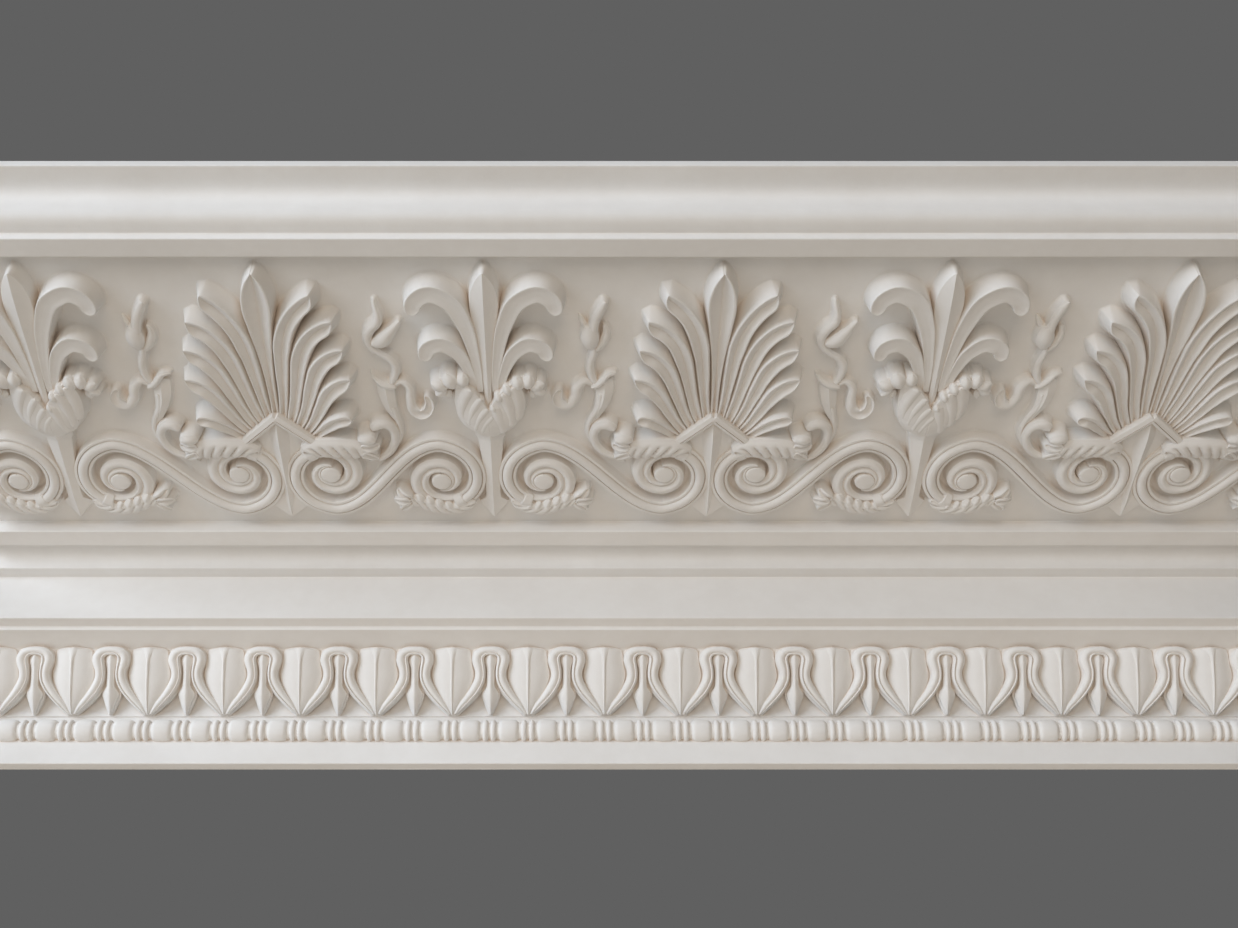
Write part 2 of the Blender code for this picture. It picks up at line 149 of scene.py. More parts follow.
def soften(outline, radius):
    """Closed outline whose sharp corners are small arcs, with a point held on each side of every arc.

    A corner C with neighbours on both sides becomes (1-s)^2 A + 2s(1-s) C + s^2 B, where A and B lie one
    radius from C, or a third of the way to the neighbour where that is less.
    """
    before = np.roll(outline, 1, axis=0) - outline
    after = np.roll(outline, -1, axis=0) - outline
    gap_before = np.linalg.norm(before, axis=1)[:, None]
    gap_after = np.linalg.norm(after, axis=1)[:, None]
    cosine = (before * after).sum(axis=1)[:, None] / (gap_before * gap_after)
    sharp = (math.pi - np.arccos(np.clip(cosine, -1.0, 1.0)))[:, 0] > SHARP_TURN
    start = outline + before / gap_before * np.minimum(radius, gap_before / 3.0)
    end = outline + after / gap_after * np.minimum(radius, gap_after / 3.0)
    held = [outline + before / gap_before * np.minimum(radius * 2.2, gap_before * 0.45)]
    for share in (0.0, 0.25, 0.5, 0.75, 1.0):
        held.append((1 - share) ** 2 * start + 2 * share * (1 - share) * outline + share ** 2 * end)
    held.append(outline + after / gap_after * np.minimum(radius * 2.2, gap_after * 0.45))
    corners = np.stack(held, axis=1)
    corners[~sharp] = outline[~sharp][:, None]
    used = np.ones(corners.shape[:2], dtype=bool)
    used[~sharp] = np.arange(7) == 3
    return corners[used]


def spread(outline, longest):
    """The closed outline with further points on its long spans, at even steps of its own length."""
    closed = np.vstack([outline, outline[:1]])
    at = np.concatenate([[0.0], np.cumsum(np.linalg.norm(np.diff(closed, axis=0), axis=1))])
    even = np.linspace(0.0, at[-1], int(at[-1] / longest))[1:-1]
    clear = np.abs(even[:, None] - at[None, :]).min(axis=1) > longest * 0.3
    stops = np.sort(np.concatenate([at[:-1], even[clear]]))
    return np.stack([np.interp(stops, at, closed[:, 0]), np.interp(stops, at, closed[:, 1])], axis=1), stops


def sway(along, around, size, length, seed):
    """Unevenness of handwork: the mean of nine sine waves of chance direction, length and phase."""
    chance = np.random.default_rng(seed)
    total = 0.0
    for turn, stretch, phase in chance.uniform(0.0, 1.0, (9, 3)):
        wave = 2.0 * math.pi / (length * (0.6 + stretch))
        course = along * math.cos(math.pi * turn) + around * math.sin(math.pi * turn)
        total = total + np.sin(course * wave + 2.0 * math.pi * phase)
    return total * size / 3.0


def place(along, out, height):
    """World point in metres from millimetres along the wall, out from it and above the foot."""
    return np.stack([along, -out, height - WALL_BED / 2.0], axis=-1) * MM


def grid_faces(rows, columns, closed):
    """Quads between neighbouring rows and columns of a grid of points, wrapped round where it is closed."""
    index = np.arange(rows * columns).reshape(rows, columns)
    if closed:
        index = np.hstack([index, index[:, :1]])
    return np.stack([index[:-1, :-1], index[:-1, 1:], index[1:, 1:], index[1:, :-1]], axis=-1).reshape(-1, 4)


def add_piece(name, shells, material):
    """One object from closed shells, with its faces turned outwards and only its hard edges left sharp."""
    points = []
    faces = []
    total = 0
    for shell_points, shell_faces in shells:
        points.append(shell_points)
        faces += [[corner + total for corner in face] for face in shell_faces]
        total += len(shell_points)
    mesh = bpy.data.meshes.new(name)
    mesh.from_pydata(np.concatenate(points), [], faces)
    shape = bmesh.new()
    shape.from_mesh(mesh)
    bmesh.ops.recalc_face_normals(shape, faces=shape.faces)
    shape.to_mesh(mesh)
    shape.free()
    mesh.shade_smooth()
    mesh.set_sharp_from_angle(angle=math.radians(CREASE_ANGLE))
    mesh.materials.append(material)
    piece = bpy.data.objects.new(name, mesh)
    bpy.context.scene.collection.objects.link(piece)
    return piece


def linear(colour):
    """Hex sRGB colour as linear red, green, blue and one."""
    parts = np.array([int(colour[i:i + 2], 16) / 255.0 for i in (0, 2, 4)])
    parts = np.where(parts <= 0.04045, parts / 12.92, ((parts + 0.055) / 1.055) ** 2.4)
    return (*parts.tolist(), 1.0)


def node(tree, kind, settings=None, **links):
    """New node with its settings, and its inputs set to a value or linked from an output.

    An input goes by its name, with _ for a space, or by i and its number.
    """
    made = tree.nodes.new(kind)
    for setting, value in (settings or {}).items():
        setattr(made, setting, value)
    for name, value in links.items():
        by_number = name[0] == "i" and name[1:].isdigit()
        socket = made.inputs[int(name[1:]) if by_number else name.replace("_", " ")]
        if isinstance(value, bpy.types.NodeSocket):
            tree.links.new(value, socket)
        else:
            socket.default_value = value
    return made


def matt_material(name, roughness, specular):
    """New material with this roughness and specular level, its node tree and its shader."""
    material = bpy.data.materials.new(name)
    material.use_nodes = True
    shader = material.node_tree.nodes["Principled BSDF"]
    shader.inputs["Roughness"].default_value = roughness
    shader.inputs["Specular IOR Level"].default_value = specular
    return material, material.node_tree, shader


def cast_plaster():
    """Gypsum plaster as it leaves a rubber mould: dense, dead matt and nearly white.

    It scatters light softly and keeps a faint cloudiness and a few pinholes from trapped air. Its deep
    corners are darkened and warmed with painted shade, which also stands for a little dust there.
    """
    material, tree, shader = matt_material("matt_cast_gypsum_plaster", 0.82, 0.28)
    where = node(tree, "ShaderNodeTexCoord").outputs["Object"]
    # Cloudiness about 60 mm across, and a finer one of 7 mm
    cloud = node(tree, "ShaderNodeTexNoise", Vector=where, Scale=16.0, Detail=4.0, Roughness=0.6)
    mottle = node(tree, "ShaderNodeTexNoise", Vector=where, Scale=140.0, Detail=3.0, Roughness=0.65)
    both = node(tree, "ShaderNodeMath", {"operation": "MULTIPLY_ADD"}, i0=mottle.outputs["Fac"], i1=0.35,
                i2=cloud.outputs["Fac"])
    tone = node(tree, "ShaderNodeMapRange", i0=both.outputs[0], i1=0.45, i2=0.9)
    body = node(tree, "ShaderNodeMix", {"data_type": "RGBA"}, Factor=tone.outputs[0])
    body.inputs[6].default_value = linear(PLASTER_LIGHT)
    body.inputs[7].default_value = linear(PLASTER_DEEP)
    # Painted shade in the carving's deep corners, warm brown and partly standing for dust, reaching about 5
    # mm
    open_air = node(tree, "ShaderNodeAmbientOcclusion", {"samples": 4, "only_local": False}, Distance=0.005)
    deep = node(tree, "ShaderNodeMapRange", i0=open_air.outputs["AO"], i1=0.7, i2=0.15, i3=0.0, i4=0.34)
    painted_shade_and_dust = node(tree, "ShaderNodeMix", {"data_type": "RGBA"}, Factor=deep.outputs[0])
    tree.links.new(body.outputs[2], painted_shade_and_dust.inputs[6])
    painted_shade_and_dust.inputs[7].default_value = linear(PLASTER_CORNER_SHADE_AND_DUST)
    tree.links.new(painted_shade_and_dust.outputs[2], shader.inputs["Base Color"])
    # Grain of about 0.5 mm, drawn coarser than the real powder so that it shows, and pinholes 14 mm apart
    grain = node(tree, "ShaderNodeTexNoise", Vector=where, Scale=1900.0, Detail=2.0, Roughness=0.6)
    ripple = node(tree, "ShaderNodeTexNoise", Vector=where, Scale=210.0, Detail=3.0, Roughness=0.55)
    pits = node(tree, "ShaderNodeTexVoronoi", {"feature": "F1"}, Vector=where, Scale=70.0, Randomness=1.0)
    pit = node(tree, "ShaderNodeMapRange", i0=pits.outputs["Distance"], i1=0.03, i2=0.055)
    height = node(tree, "ShaderNodeMath", {"operation": "MULTIPLY_ADD"}, i0=ripple.outputs["Fac"], i1=2.2,
                  i2=grain.outputs["Fac"])
    worn = node(tree, "ShaderNodeMath", {"operation": "MULTIPLY_ADD"}, i0=pit.outputs[0], i1=1.6,
                i2=height.outputs[0])
    bump = node(tree, "ShaderNodeBump", Strength=0.35, Distance=0.00012, Height=worn.outputs[0])
    tree.links.new(bump.outputs[0], shader.inputs["Normal"])
    return material


def struck_plaster():
    """The same plaster where it was struck off and brushed behind or sawn: rough, dragged and a little grey.

    Loose strands of jute show at its surface as short tan flecks.
    """
    material, tree, shader = matt_material("struck_gypsum_plaster_with_jute", 0.93, 0.2)
    where = node(tree, "ShaderNodeTexCoord").outputs["Object"]
    # Dragged along the length: strokes about 4 mm wide and 60 mm long
    drawn = node(tree, "ShaderNodeMapping", Vector=where)
    drawn.inputs["Scale"].default_value = (16.0, 240.0, 240.0)
    strokes = node(tree, "ShaderNodeTexNoise", Vector=drawn.outputs[0], Scale=1.0, Detail=5.0, Roughness=0.62)
    lumps = node(tree, "ShaderNodeTexNoise", Vector=where, Scale=95.0, Detail=5.0, Roughness=0.7)
    # Strands about 3 mm wide and 25 mm long, lying across each other
    fibre_line = node(tree, "ShaderNodeMapping", Vector=where)
    fibre_line.inputs["Rotation"].default_value = (0.3, 0.2, 0.6)
    fibre_line.inputs["Scale"].default_value = (40.0, 330.0, 330.0)
    fibres = node(tree, "ShaderNodeTexVoronoi", {"feature": "F1"}, Vector=fibre_line.outputs[0], Scale=1.0)
    fleck = node(tree, "ShaderNodeMapRange", i0=fibres.outputs["Distance"], i1=0.1, i2=0.06, i3=0.0, i4=0.7)
    tone = node(tree, "ShaderNodeMapRange", i0=strokes.outputs["Fac"], i1=0.3, i2=0.7)
    body = node(tree, "ShaderNodeMix", {"data_type": "RGBA"}, Factor=tone.outputs[0])
    body.inputs[6].default_value = linear(BACK_DEEP)
    body.inputs[7].default_value = linear(BACK_LIGHT)
    whole = node(tree, "ShaderNodeMix", {"data_type": "RGBA"}, Factor=fleck.outputs[0])
    tree.links.new(body.outputs[2], whole.inputs[6])
    whole.inputs[7].default_value = linear(FIBRE_COLOUR)
    tree.links.new(whole.outputs[2], shader.inputs["Base Color"])
    height = node(tree, "ShaderNodeMath", {"operation": "ADD"}, i0=strokes.outputs["Fac"],
                  i1=lumps.outputs["Fac"])
    bump = node(tree, "ShaderNodeBump", Strength=0.8, Distance=0.0012, Height=height.outputs[0])
    tree.links.new(bump.outputs[0], shader.inputs["Normal"])
    return material


def plain_run():
    """Shell of the run: the softened section carried along the length, closed with a flat face at each end.

    Each ring is the section moved along its own outward normal by the sway of that place. The two beds stay
    flat, and the slope behind is rough, fading out towards them.
    """
    ring, at = spread(soften(OUTLINE, SOFT_CORNER), LONGEST_SPAN)
    ahead = np.roll(ring, -1, axis=0) - np.roll(ring, 1, axis=0)
    normal = np.stack([ahead[:, 1], -ahead[:, 0]], axis=1) / np.linalg.norm(ahead, axis=1)[:, None]
    along = np.linspace(-LENGTH / 2.0, LENGTH / 2.0, int(LENGTH / STATION_PITCH))[:, None]
    back = (ring[:, 1] > BACK_LEAN * ring[:, 0] + WALL_BED - BACK_MARGIN)[None, :]
    swing = sway(along, at[None, :], FACE_SWAY, FACE_SWAY_LENGTH, 3)
    swing = swing + sway(along, at[None, :] * 0.05, RUN_SWAY, RUN_SWAY_LENGTH, 5)
    rough = sway(along, at[None, :], BACK_SWAY, BACK_SWAY_LENGTH, 8) - BACK_SWAY
    clear = np.minimum(ring[:, 0], MARKS["ceiling"][1] - ring[:, 1]) - BED_MARGIN
    inner = np.clip(clear / BED_BLEND, 0.0, 1.0)
    swing = np.where(back, rough * inner, swing)
    on_bed = (ring[:, 0] < STILL_EDGE) | (ring[:, 1] > MARKS["ceiling"][1] - STILL_EDGE)
    swing = np.where(on_bed, 0.0, swing)
    out = ring[:, 0] + swing * normal[:, 0]
    height = ring[:, 1] + swing * normal[:, 1]
    out = np.clip(out, 0.0, ring[:, 0].max())
    height = np.clip(height, 0.0, MARKS["ceiling"][1])
    points = place(np.broadcast_to(along, out.shape), out, height)
    rows, columns = out.shape
    faces = grid_faces(rows, columns, True).tolist()
    last = (rows - 1) * columns
    faces += [list(range(columns)), list(range(last, last + columns))]
    return points.reshape(-1, 3), faces


OUTLINE, MARKS = section()
CAST_PLASTER = cast_plaster()
STRUCK_PLASTER = struck_plaster()

run = add_piece("moulding_run", [plain_run()], CAST_PLASTER)
run.data.materials.append(STRUCK_PLASTER)
centres = np.zeros(len(run.data.polygons) * 3)
run.data.polygons.foreach_get("center", centres)
facing = np.zeros(len(run.data.polygons) * 3)
run.data.polygons.foreach_get("normal", facing)
centres, facing = centres.reshape(-1, 3), facing.reshape(-1, 3)
on_top = (facing[:, 2] > 0.4) & (centres[:, 2] > 0.09)
behind = (facing[:, 1] > 0.4) | on_top | (np.abs(facing[:, 0]) > 0.9)
run.data.polygons.foreach_set("material_index", behind.astype(np.int32))
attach(run, "root")
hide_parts("plaster_cornice")


# Palmettes
# Fans of eleven grooved leaves over a gable-shaped kite, modelled proud of the sunk ground of the frieze.
# Each was carved once in the pattern and is cast in one with the run, so every copy is the same.
MOTIF_PITCH = 209.0
PALMETTE_AT = 44.0
BELL_AFTER_PALMETTE = 102.0
RELIEF = 11.0
ARRIS = 0.5
DRAFT = 0.13
LEAF_DRAFT = 0.24
LEAST_HEIGHT = 0.25
LEAST_HALF_WIDTH = 0.15
LINE_POINTS = 600
FOOT_FILLET = 0.7
SINK = 0.8
END_GAP = 0.02
END_STEP = 0.004
END_STEPS = 40
FADE_START = 0.14
ROUND_STEPS = 6
ARRIS_ARC = ((0.5, 0.134), (0.866, 0.5), (1.0, 1.0))
FOOT_ARC = ((0.3, 0.3), (1.0, 0.0))
LEAVES = 5
LEAF_TIPS = ((25.7, 137.5), (33.4, 123.2), (36.6, 107.8), (38.4, 91.6), (36.6, 70.5))
LEAF_TIP_TURNS = (60.0, 77.0, 83.0, 87.0, 100.0)
LEAF_BASE_TURN = 9.5
LEAF_BASE = (0.0, 72.5)
LEAF_BASE_STEP = (3.4, -3.0)
LEAF_LEAVING = 0.45
LEAF_ARRIVING = 0.35
LEAF_CREVICE = 0.42
LEAF_WIDEST = 3.9
LAST_LEAF_WIDEST = 3.1
LEAF_HEIGHTS = (0.5, 0.68, 0.88, 1.0, 0.96)
SPEAR = ((0, 70, 1.7, 0.5), (0, 103, 3.0, 0.68), (0, 122, 5.3, 0.88), (0, 134, 6.5, 0.97), (0, 142, 5.4, 1.0),
         (0, 147.5, 3.0, 0.98), (0, 150.5, 0.7, 0.96))
KITE = ((0, 71, 1.0, 0.52), (0, 56, 16.6, 0.5), (0, 43, 8.0, 0.46), (0, 28, 3.4, 0.4), (0, 20.5, 3.4, 0.42),
        (0, 15.6, 10.4, 0.46), (0, 7.0, 0.5, 0.4))
KITE_BLADE = ((0, 69, 0.5, 0.64), (0, 61, 5.2, 0.78), (0, 45, 3.7, 0.7), (0, 28, 2.3, 0.58),
              (0, 16, 2.0, 0.56), (0, 8.0, 0.5, 0.42))
KITE_RIM = ((0, 70.4, 2.1, 0.8), (9, 62.4, 2.1, 0.79), (18.4, 54.0, 2.1, 0.74))
LEAF_ACROSS = (0.0, 0.06, 0.3, 0.55, 0.72, 0.78, 0.88, 1.0)
PLAIN_ACROSS = (0.0, 0.08, 0.35, 0.6, 0.8, 1.0)
RIM_ACROSS = (0.0, 0.1, 0.16, 0.28, 0.4, 0.5, 0.75, 1.0)


def smooth(rows, count):
    """Rows joined by cubic curves, evenly read: each span is the Hermite curve of its two ends and slopes."""
    rows = np.asarray(rows, dtype=float)
    chord = np.linalg.norm(np.diff(rows[:, :2], axis=0), axis=1)
    knots = np.concatenate([[0.0], np.cumsum(chord)])
    slopes = np.gradient(rows, knots, axis=0, edge_order=min(2, len(rows) - 1))
    at = np.linspace(0.0, knots[-1], count)
    span = np.clip(np.searchsorted(knots, at, side="right") - 1, 0, len(chord) - 1)
    size = chord[span][:, None]
    s = (at - knots[span])[:, None] / size
    return (rows[span] * (1 + 2 * s) * (1 - s) ** 2 + slopes[span] * size * s * (1 - s) ** 2
            + rows[span + 1] * s ** 2 * (3 - 2 * s) + slopes[span + 1] * size * s ** 2 * (s - 1))


def straight(rows, count):
    """Rows joined by straight lines, evenly read with every corner kept."""
    rows = np.asarray(rows, dtype=float)
    knots = np.concatenate([[0.0], np.cumsum(np.linalg.norm(np.diff(rows[:, :2], axis=0), axis=1))])
    at = np.unique(np.concatenate([np.linspace(0.0, knots[-1], count), knots]))
    return np.stack([np.interp(at, knots, column) for column in rows.T], axis=1)


def ribbon(rows, pitch, across, rounds, arris, join, lean):
    """Plan of a stroke: a grid along a centre line, as wide as its half width and rounded at its ends.

    A rounded end is a half ellipse: the width is the sine of an angle whose cosine gives the place along it.
    Lean moves what is left of the width there towards the left edge (1) or the right one (-1).
    Returns the plan, the place across from -1 to 1, the place along in mm, half widths, heights, fade, arris.
    """
    line = join(rows, LINE_POINTS)
    at = np.concatenate([[0.0], np.cumsum(np.linalg.norm(np.diff(line[:, :2], axis=0), axis=1))])
    ahead = np.gradient(line[:, :2], at, axis=0)
    ahead /= np.linalg.norm(ahead, axis=1)[:, None]
    total = at[-1]
    angle = np.linspace(FADE_START, math.pi / 2.0, ROUND_STEPS)
    start = rounds[0] * (1.0 - np.cos(angle)) if rounds[0] else np.zeros(1)
    end = total - (rounds[1] * (1.0 - np.cos(angle)) if rounds[1] else np.zeros(1))
    count = max(3, int((end[-1] - start[-1]) / pitch) + 2)
    middle = np.linspace(start[-1], end[-1], count)[1:-1]
    along = np.concatenate([start, middle, end[::-1]])
    fade = np.ones(len(along))
    if rounds[0]:
        fade[:len(angle)] = np.sin(angle)
    if rounds[1]:
        fade[-len(angle):] = np.sin(angle)[::-1]
    read = [np.interp(along, at, column) for column in (*line.T, *ahead.T)]
    centre = np.stack(read[:2], axis=1)[:, None]
    sideways = np.stack([-read[5], read[4]], axis=1)[:, None]
    full = np.maximum(read[2], LEAST_HALF_WIDTH)
    half = full * fade
    corner = np.minimum(arris, 0.4 * half)
    q = np.concatenate([-np.array(across)[:0:-1], across])[None, :]
    columns = [each[:, None] for each in (along, half, read[3], fade, corner)]
    offset = (half - corner)[:, None] * q + (lean * (full - half))[:, None]
    return centre + sideways * offset[..., None], q, *columns


def relief(to_world, plan, height, arris, draft=DRAFT, sink=SINK):
    """Closed raised shape: a face over a grid of plan points, with walls down all its edges.

    The face stands at its height over the ground. Each level of the wall is the edge moved out along its own
    normal and down: first round the arris, then down a drafted wall, then out in a small fillet, and last
    under the ground.
    """
    rows, columns = height.shape
    index = np.arange(rows * columns).reshape(rows, columns)
    rim = np.concatenate([index[0, :-1], index[:-1, -1], index[-1, :0:-1], index[:0:-1, 0]])
    edge = plan.reshape(-1, 2)[rim]
    top = np.maximum(height.reshape(-1)[rim], LEAST_HEIGHT)
    corner = np.minimum(np.broadcast_to(arris, height.shape).reshape(-1)[rim], top * 0.4)
    ahead = np.roll(edge, -1, axis=0) - np.roll(edge, 1, axis=0)
    following = np.roll(edge, -1, axis=0)
    turn = np.sign((edge[:, 0] * following[:, 1] - edge[:, 1] * following[:, 0]).sum())
    outward = turn * np.stack([ahead[:, 1], -ahead[:, 0]], axis=1)
    outward /= np.maximum(np.linalg.norm(outward, axis=1), 1e-6)[:, None]
    foot = np.minimum(FOOT_FILLET, top / 3.0)
    wall = top - corner - foot
    levels = [(corner * out, top - corner * down) for out, down in ARRIS_ARC]
    levels.append((corner + draft * wall, top - corner - wall))
    levels += [(corner + draft * wall + foot * out, foot * up) for out, up in FOOT_ARC]
    levels.append((corner + draft * wall + foot, np.full(len(rim), -sink)))
    points = [to_world(plan[..., 0].ravel(), plan[..., 1].ravel(), np.maximum(height, LEAST_HEIGHT).ravel())]
    rings = [rim]
    total = rows * columns
    for out, up in levels:
        moved = edge + outward * out[:, None]
        points.append(to_world(moved[:, 0], moved[:, 1], up))
        rings.append(total + np.arange(len(rim)))
        total += len(rim)
    rings = np.stack(rings)
    closed = np.hstack([rings, rings[:, :1]])
    walls = np.stack([closed[:-1, :-1], closed[1:, :-1], closed[1:, 1:], closed[:-1, 1:]], axis=-1)
    faces = grid_faces(rows, columns, False).tolist() + walls.reshape(-1, 4).tolist() + [rings[-1].tolist()]
    return np.concatenate(points), faces


def stroke(to_world, rows, drop, pitch=1.7, across=PLAIN_ACROSS, rounds=(0.0, 0.0), arris=ARRIS, scale=RELIEF,
           join=smooth, edge=None, lean=0.0, draft=DRAFT, sink=SINK):
    """Raised stroke along rows of (across, up, half width, share of the relief).

    Drop is how far the face lies under the stroke's height, from its place across (q), its place along (s),
    its half width and its fade, which falls from 1 to nearly 0 over a rounded end.
    Edge, where given, is a share by which the plan's width swells there.
    """
    plan, q, s, half, height, fade, corner = ribbon(rows, pitch, across, rounds, arris, join, lean)
    if edge is not None:
        centre = plan[:, plan.shape[1] // 2][:, None]
        plan = centre + (plan - centre) * edge(q, s)[..., None]
    face = height * scale - drop(q, s, half, fade)
    return relief(to_world, plan, face, corner, draft, sink)


def grooved(q, s, half, fade):
    """Valley between two rims: a small step inside each, then straight down to the middle.

    Its depth is a share of the half width, taken larger where the leaf is narrow.
    """
    inside = np.clip(1.0 - np.abs(q) / 0.76, 0.0, 1.0)
    step = np.clip((0.86 - np.abs(q)) / 0.1, 0.0, 1.0)
    return np.maximum(half, np.minimum(half * 1.6, 2.6)) * fade * (0.1 * step + 0.56 * inside)


def ridged(q, s, half, fade):
    """Roof: straight down from the middle to both edges."""
    return 0.42 * half * np.abs(q)


def rimmed(q, s, half, fade):
    """Flat band along the left edge, a narrow groove, and a sharp line along the right edge."""
    groove = np.clip(1.0 - np.abs(q + 0.28) / 0.12, 0.0, 1.0)
    return 0.9 * groove + 0.5 * np.clip(q + 0.1, 0.0, 1.0) + 0.7 * np.clip(-0.5 - q, 0.0, 1.0)


def frieze(axis, side):
    """Map from the frieze sheet to the world for a motif on this axis; side -1 is its mirror image."""
    def to_world(across, up, height):
        return place(axis + side * across, MARKS["frieze"][0] + up, MARKS["frieze"][1] - height)
    return to_world


def leaf_line(index):
    """Centre line of a leaf, counted from the spear: a cubic Bezier curve that turns out at its tip."""
    base = np.array(LEAF_BASE) + index * np.array(LEAF_BASE_STEP)
    tip = np.array(LEAF_TIPS[index - 1]) if index else np.array(SPEAR[3][:2])
    leave = math.radians(LEAF_BASE_TURN * index)
    arrive = math.radians(LEAF_TIP_TURNS[index - 1]) if index else 0.0
    span = np.linalg.norm(tip - base)
    first = base + LEAF_LEAVING * span * np.array([math.sin(leave), math.cos(leave)])
    second = tip - LEAF_ARRIVING * span * np.array([math.sin(arrive), math.cos(arrive)])
    s = np.linspace(0.0, 1.0, 15)[:, None]
    return base * (1 - s) ** 3 + 3 * first * s * (1 - s) ** 2 + 3 * second * s ** 2 * (1 - s) + tip * s ** 3


def leaf_rows(index):
    """Rows of one side leaf, which fills the room between its neighbours until it reaches its widest."""
    line = leaf_line(index)
    half = np.full(len(line), LEAF_WIDEST if index < LEAVES else LAST_LEAF_WIDEST)
    for neighbour in range(max(0, index - 1), min(LEAVES, index + 1) + 1, 2):
        away = np.linalg.norm(line[:, None] - leaf_line(neighbour)[None], axis=2).min(axis=1)
        half = np.minimum(half, away / 2.0 - LEAF_CREVICE)
    share = np.linspace(0.0, 1.0, len(line))
    height = np.interp(share, np.linspace(0.0, 1.0, len(LEAF_HEIGHTS)), LEAF_HEIGHTS)
    return np.column_stack([line, half, height])


def palmette(axis):
    """Shells of one palmette."""
    upright = frieze(axis, 1)
    shells = [stroke(upright, SPEAR, grooved, across=LEAF_ACROSS)]
    shells.append(stroke(upright, KITE, lambda q, s, half, fade: 0.13 * half * np.abs(q), join=straight,
                         arris=0.3))
    shells.append(stroke(upright, KITE_BLADE, lambda q, s, half, fade: 0.8 * half * np.abs(q), arris=0.1))
    for side in (-1, 1):
        to_world = frieze(axis, side)
        for index in range(1, LEAVES):
            shells.append(stroke(to_world, leaf_rows(index), grooved, across=LEAF_ACROSS, rounds=(0.0, 6.0),
                                 lean=0.8, draft=LEAF_DRAFT))
        shells.append(stroke(to_world, leaf_rows(LEAVES), grooved, across=LEAF_ACROSS, rounds=(0.0, 3.0),
                             draft=LEAF_DRAFT))
        shells.append(stroke(to_world, KITE_RIM, rimmed, across=RIM_ACROSS, arris=0.3))
    return shells


def repeats(first, pitch, reach):
    """Positions first + n * pitch that lie within this reach of the middle of the length."""
    numbers = np.arange(math.ceil((-reach - first) / pitch), math.floor((reach - first) / pitch) + 1)
    return numbers * pitch + first


def cut_square(shells):
    """The shells between the two square ends, each cut closed, and each cut a hair inside the last."""
    kept = []
    for count, (points, faces) in enumerate(shells):
        low, high = points[:, 0].min() / MM, points[:, 0].max() / MM
        limit = LENGTH / 2.0 - END_GAP - END_STEP * (count % END_STEPS)
        if low > limit or high < -limit:
            continue
        if high > limit or low < -limit:
            mesh = bpy.data.meshes.new("cutting")
            mesh.from_pydata(points, [], faces)
            shape = bmesh.new()
            shape.from_mesh(mesh)
            for side in (-1, 1):
                everything = shape.verts[:] + shape.edges[:] + shape.faces[:]
                bmesh.ops.bisect_plane(shape, geom=everything, plane_co=(side * limit * MM, 0, 0),
                                       plane_no=(side, 0, 0), clear_outer=True)
            bmesh.ops.holes_fill(shape, edges=[edge for edge in shape.edges if edge.is_boundary], sides=0)
            shape.verts.index_update()
            points = np.array([vert.co for vert in shape.verts])
            faces = [[vert.index for vert in face.verts] for face in shape.faces]
            shape.free()
            bpy.data.meshes.remove(mesh)
        kept.append((points, faces))
    return kept


PALMETTE_AXES = repeats(PALMETTE_AT, MOTIF_PITCH, LENGTH / 2.0 + MOTIF_PITCH)
shells = [shell for axis in PALMETTE_AXES for shell in palmette(axis)]
palmettes = add_piece("palmettes", cut_square(shells), CAST_PLASTER)
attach(palmettes, "root")
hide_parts("plaster_cornice")


# Bellflowers
# A ridged spear and two pairs of hooked petals that rise from a cup on a pointed stem, cast in one with the
# run. The cup is two wrapped leaves: four folds on the left one, three broad ones on the right, and crumpled
# tips on both.
BELL_SPEAR = ((0, 74, 1.6, 0.75), (0, 104, 2.9, 0.86), (0, 122, 5.2, 0.96), (0, 134, 6.5, 1.0),
              (0, 142, 5.4, 1.0), (0, 147.5, 3.1, 0.97), (0, 150.8, 0.7, 0.94))
UPPER_HOOK = ((3.6, 86, 1.6, 0.7), (5.6, 108, 2.6, 0.84), (9.2, 124, 3.7, 0.93), (16, 137, 4.4, 1.0),
              (25, 140.6, 4.5, 1.0), (31.2, 136, 4.1, 0.98), (31.8, 129.5, 3.2, 0.93))
LOWER_HOOK = ((6.0, 84, 1.6, 0.62), (8.9, 99.5, 2.6, 0.8), (13.2, 108.6, 3.5, 0.9), (20.5, 113.7, 4.1, 0.96),
              (26.6, 111, 3.9, 0.95), (27.4, 104.5, 3.0, 0.88))
BELL_STEM = ((0, 60, 7.4, 0.7), (0, 57.4, 7.2, 0.68), (0, 56.8, 6.2, 0.62), (0, 41.5, 4.7, 0.6),
             (0, 24, 3.5, 0.56), (0, 19, 3.6, 0.54), (0, 15.2, 7.4, 0.48), (0, 7.2, 0.5, 0.42))
BELL_HEART = ((0, 64, 7.0, 0.5), (0, 78, 9.5, 0.56), (0, 92, 8.0, 0.52))
CUP_BASE = ((0.2, 59.4), (6.8, 60.5))
CUP_SIDE = ((0.4, 66.0), (18.5, 68.0))
CUP_TOP = ((0.2, 75.5), (14.4, 92.0))
CUP_LEFT_FOLDS = (((3.6, 62.6, 1.7, 0.8), (1.6, 68.0, 2.7, 0.93), (-1.8, 72.8, 1.8, 0.96)),
                  ((6.6, 64.2, 1.8, 0.82), (4.4, 71.4, 2.9, 0.95), (0.4, 77.6, 2.1, 0.99)),
                  ((9.4, 67.4, 1.9, 0.82), (7.4, 76.0, 3.0, 0.95), (3.2, 83.4, 2.3, 1.0)),
                  ((12.0, 70.8, 2.0, 0.78), (11.4, 80.0, 3.6, 0.92), (7.8, 88.6, 3.3, 1.0)))
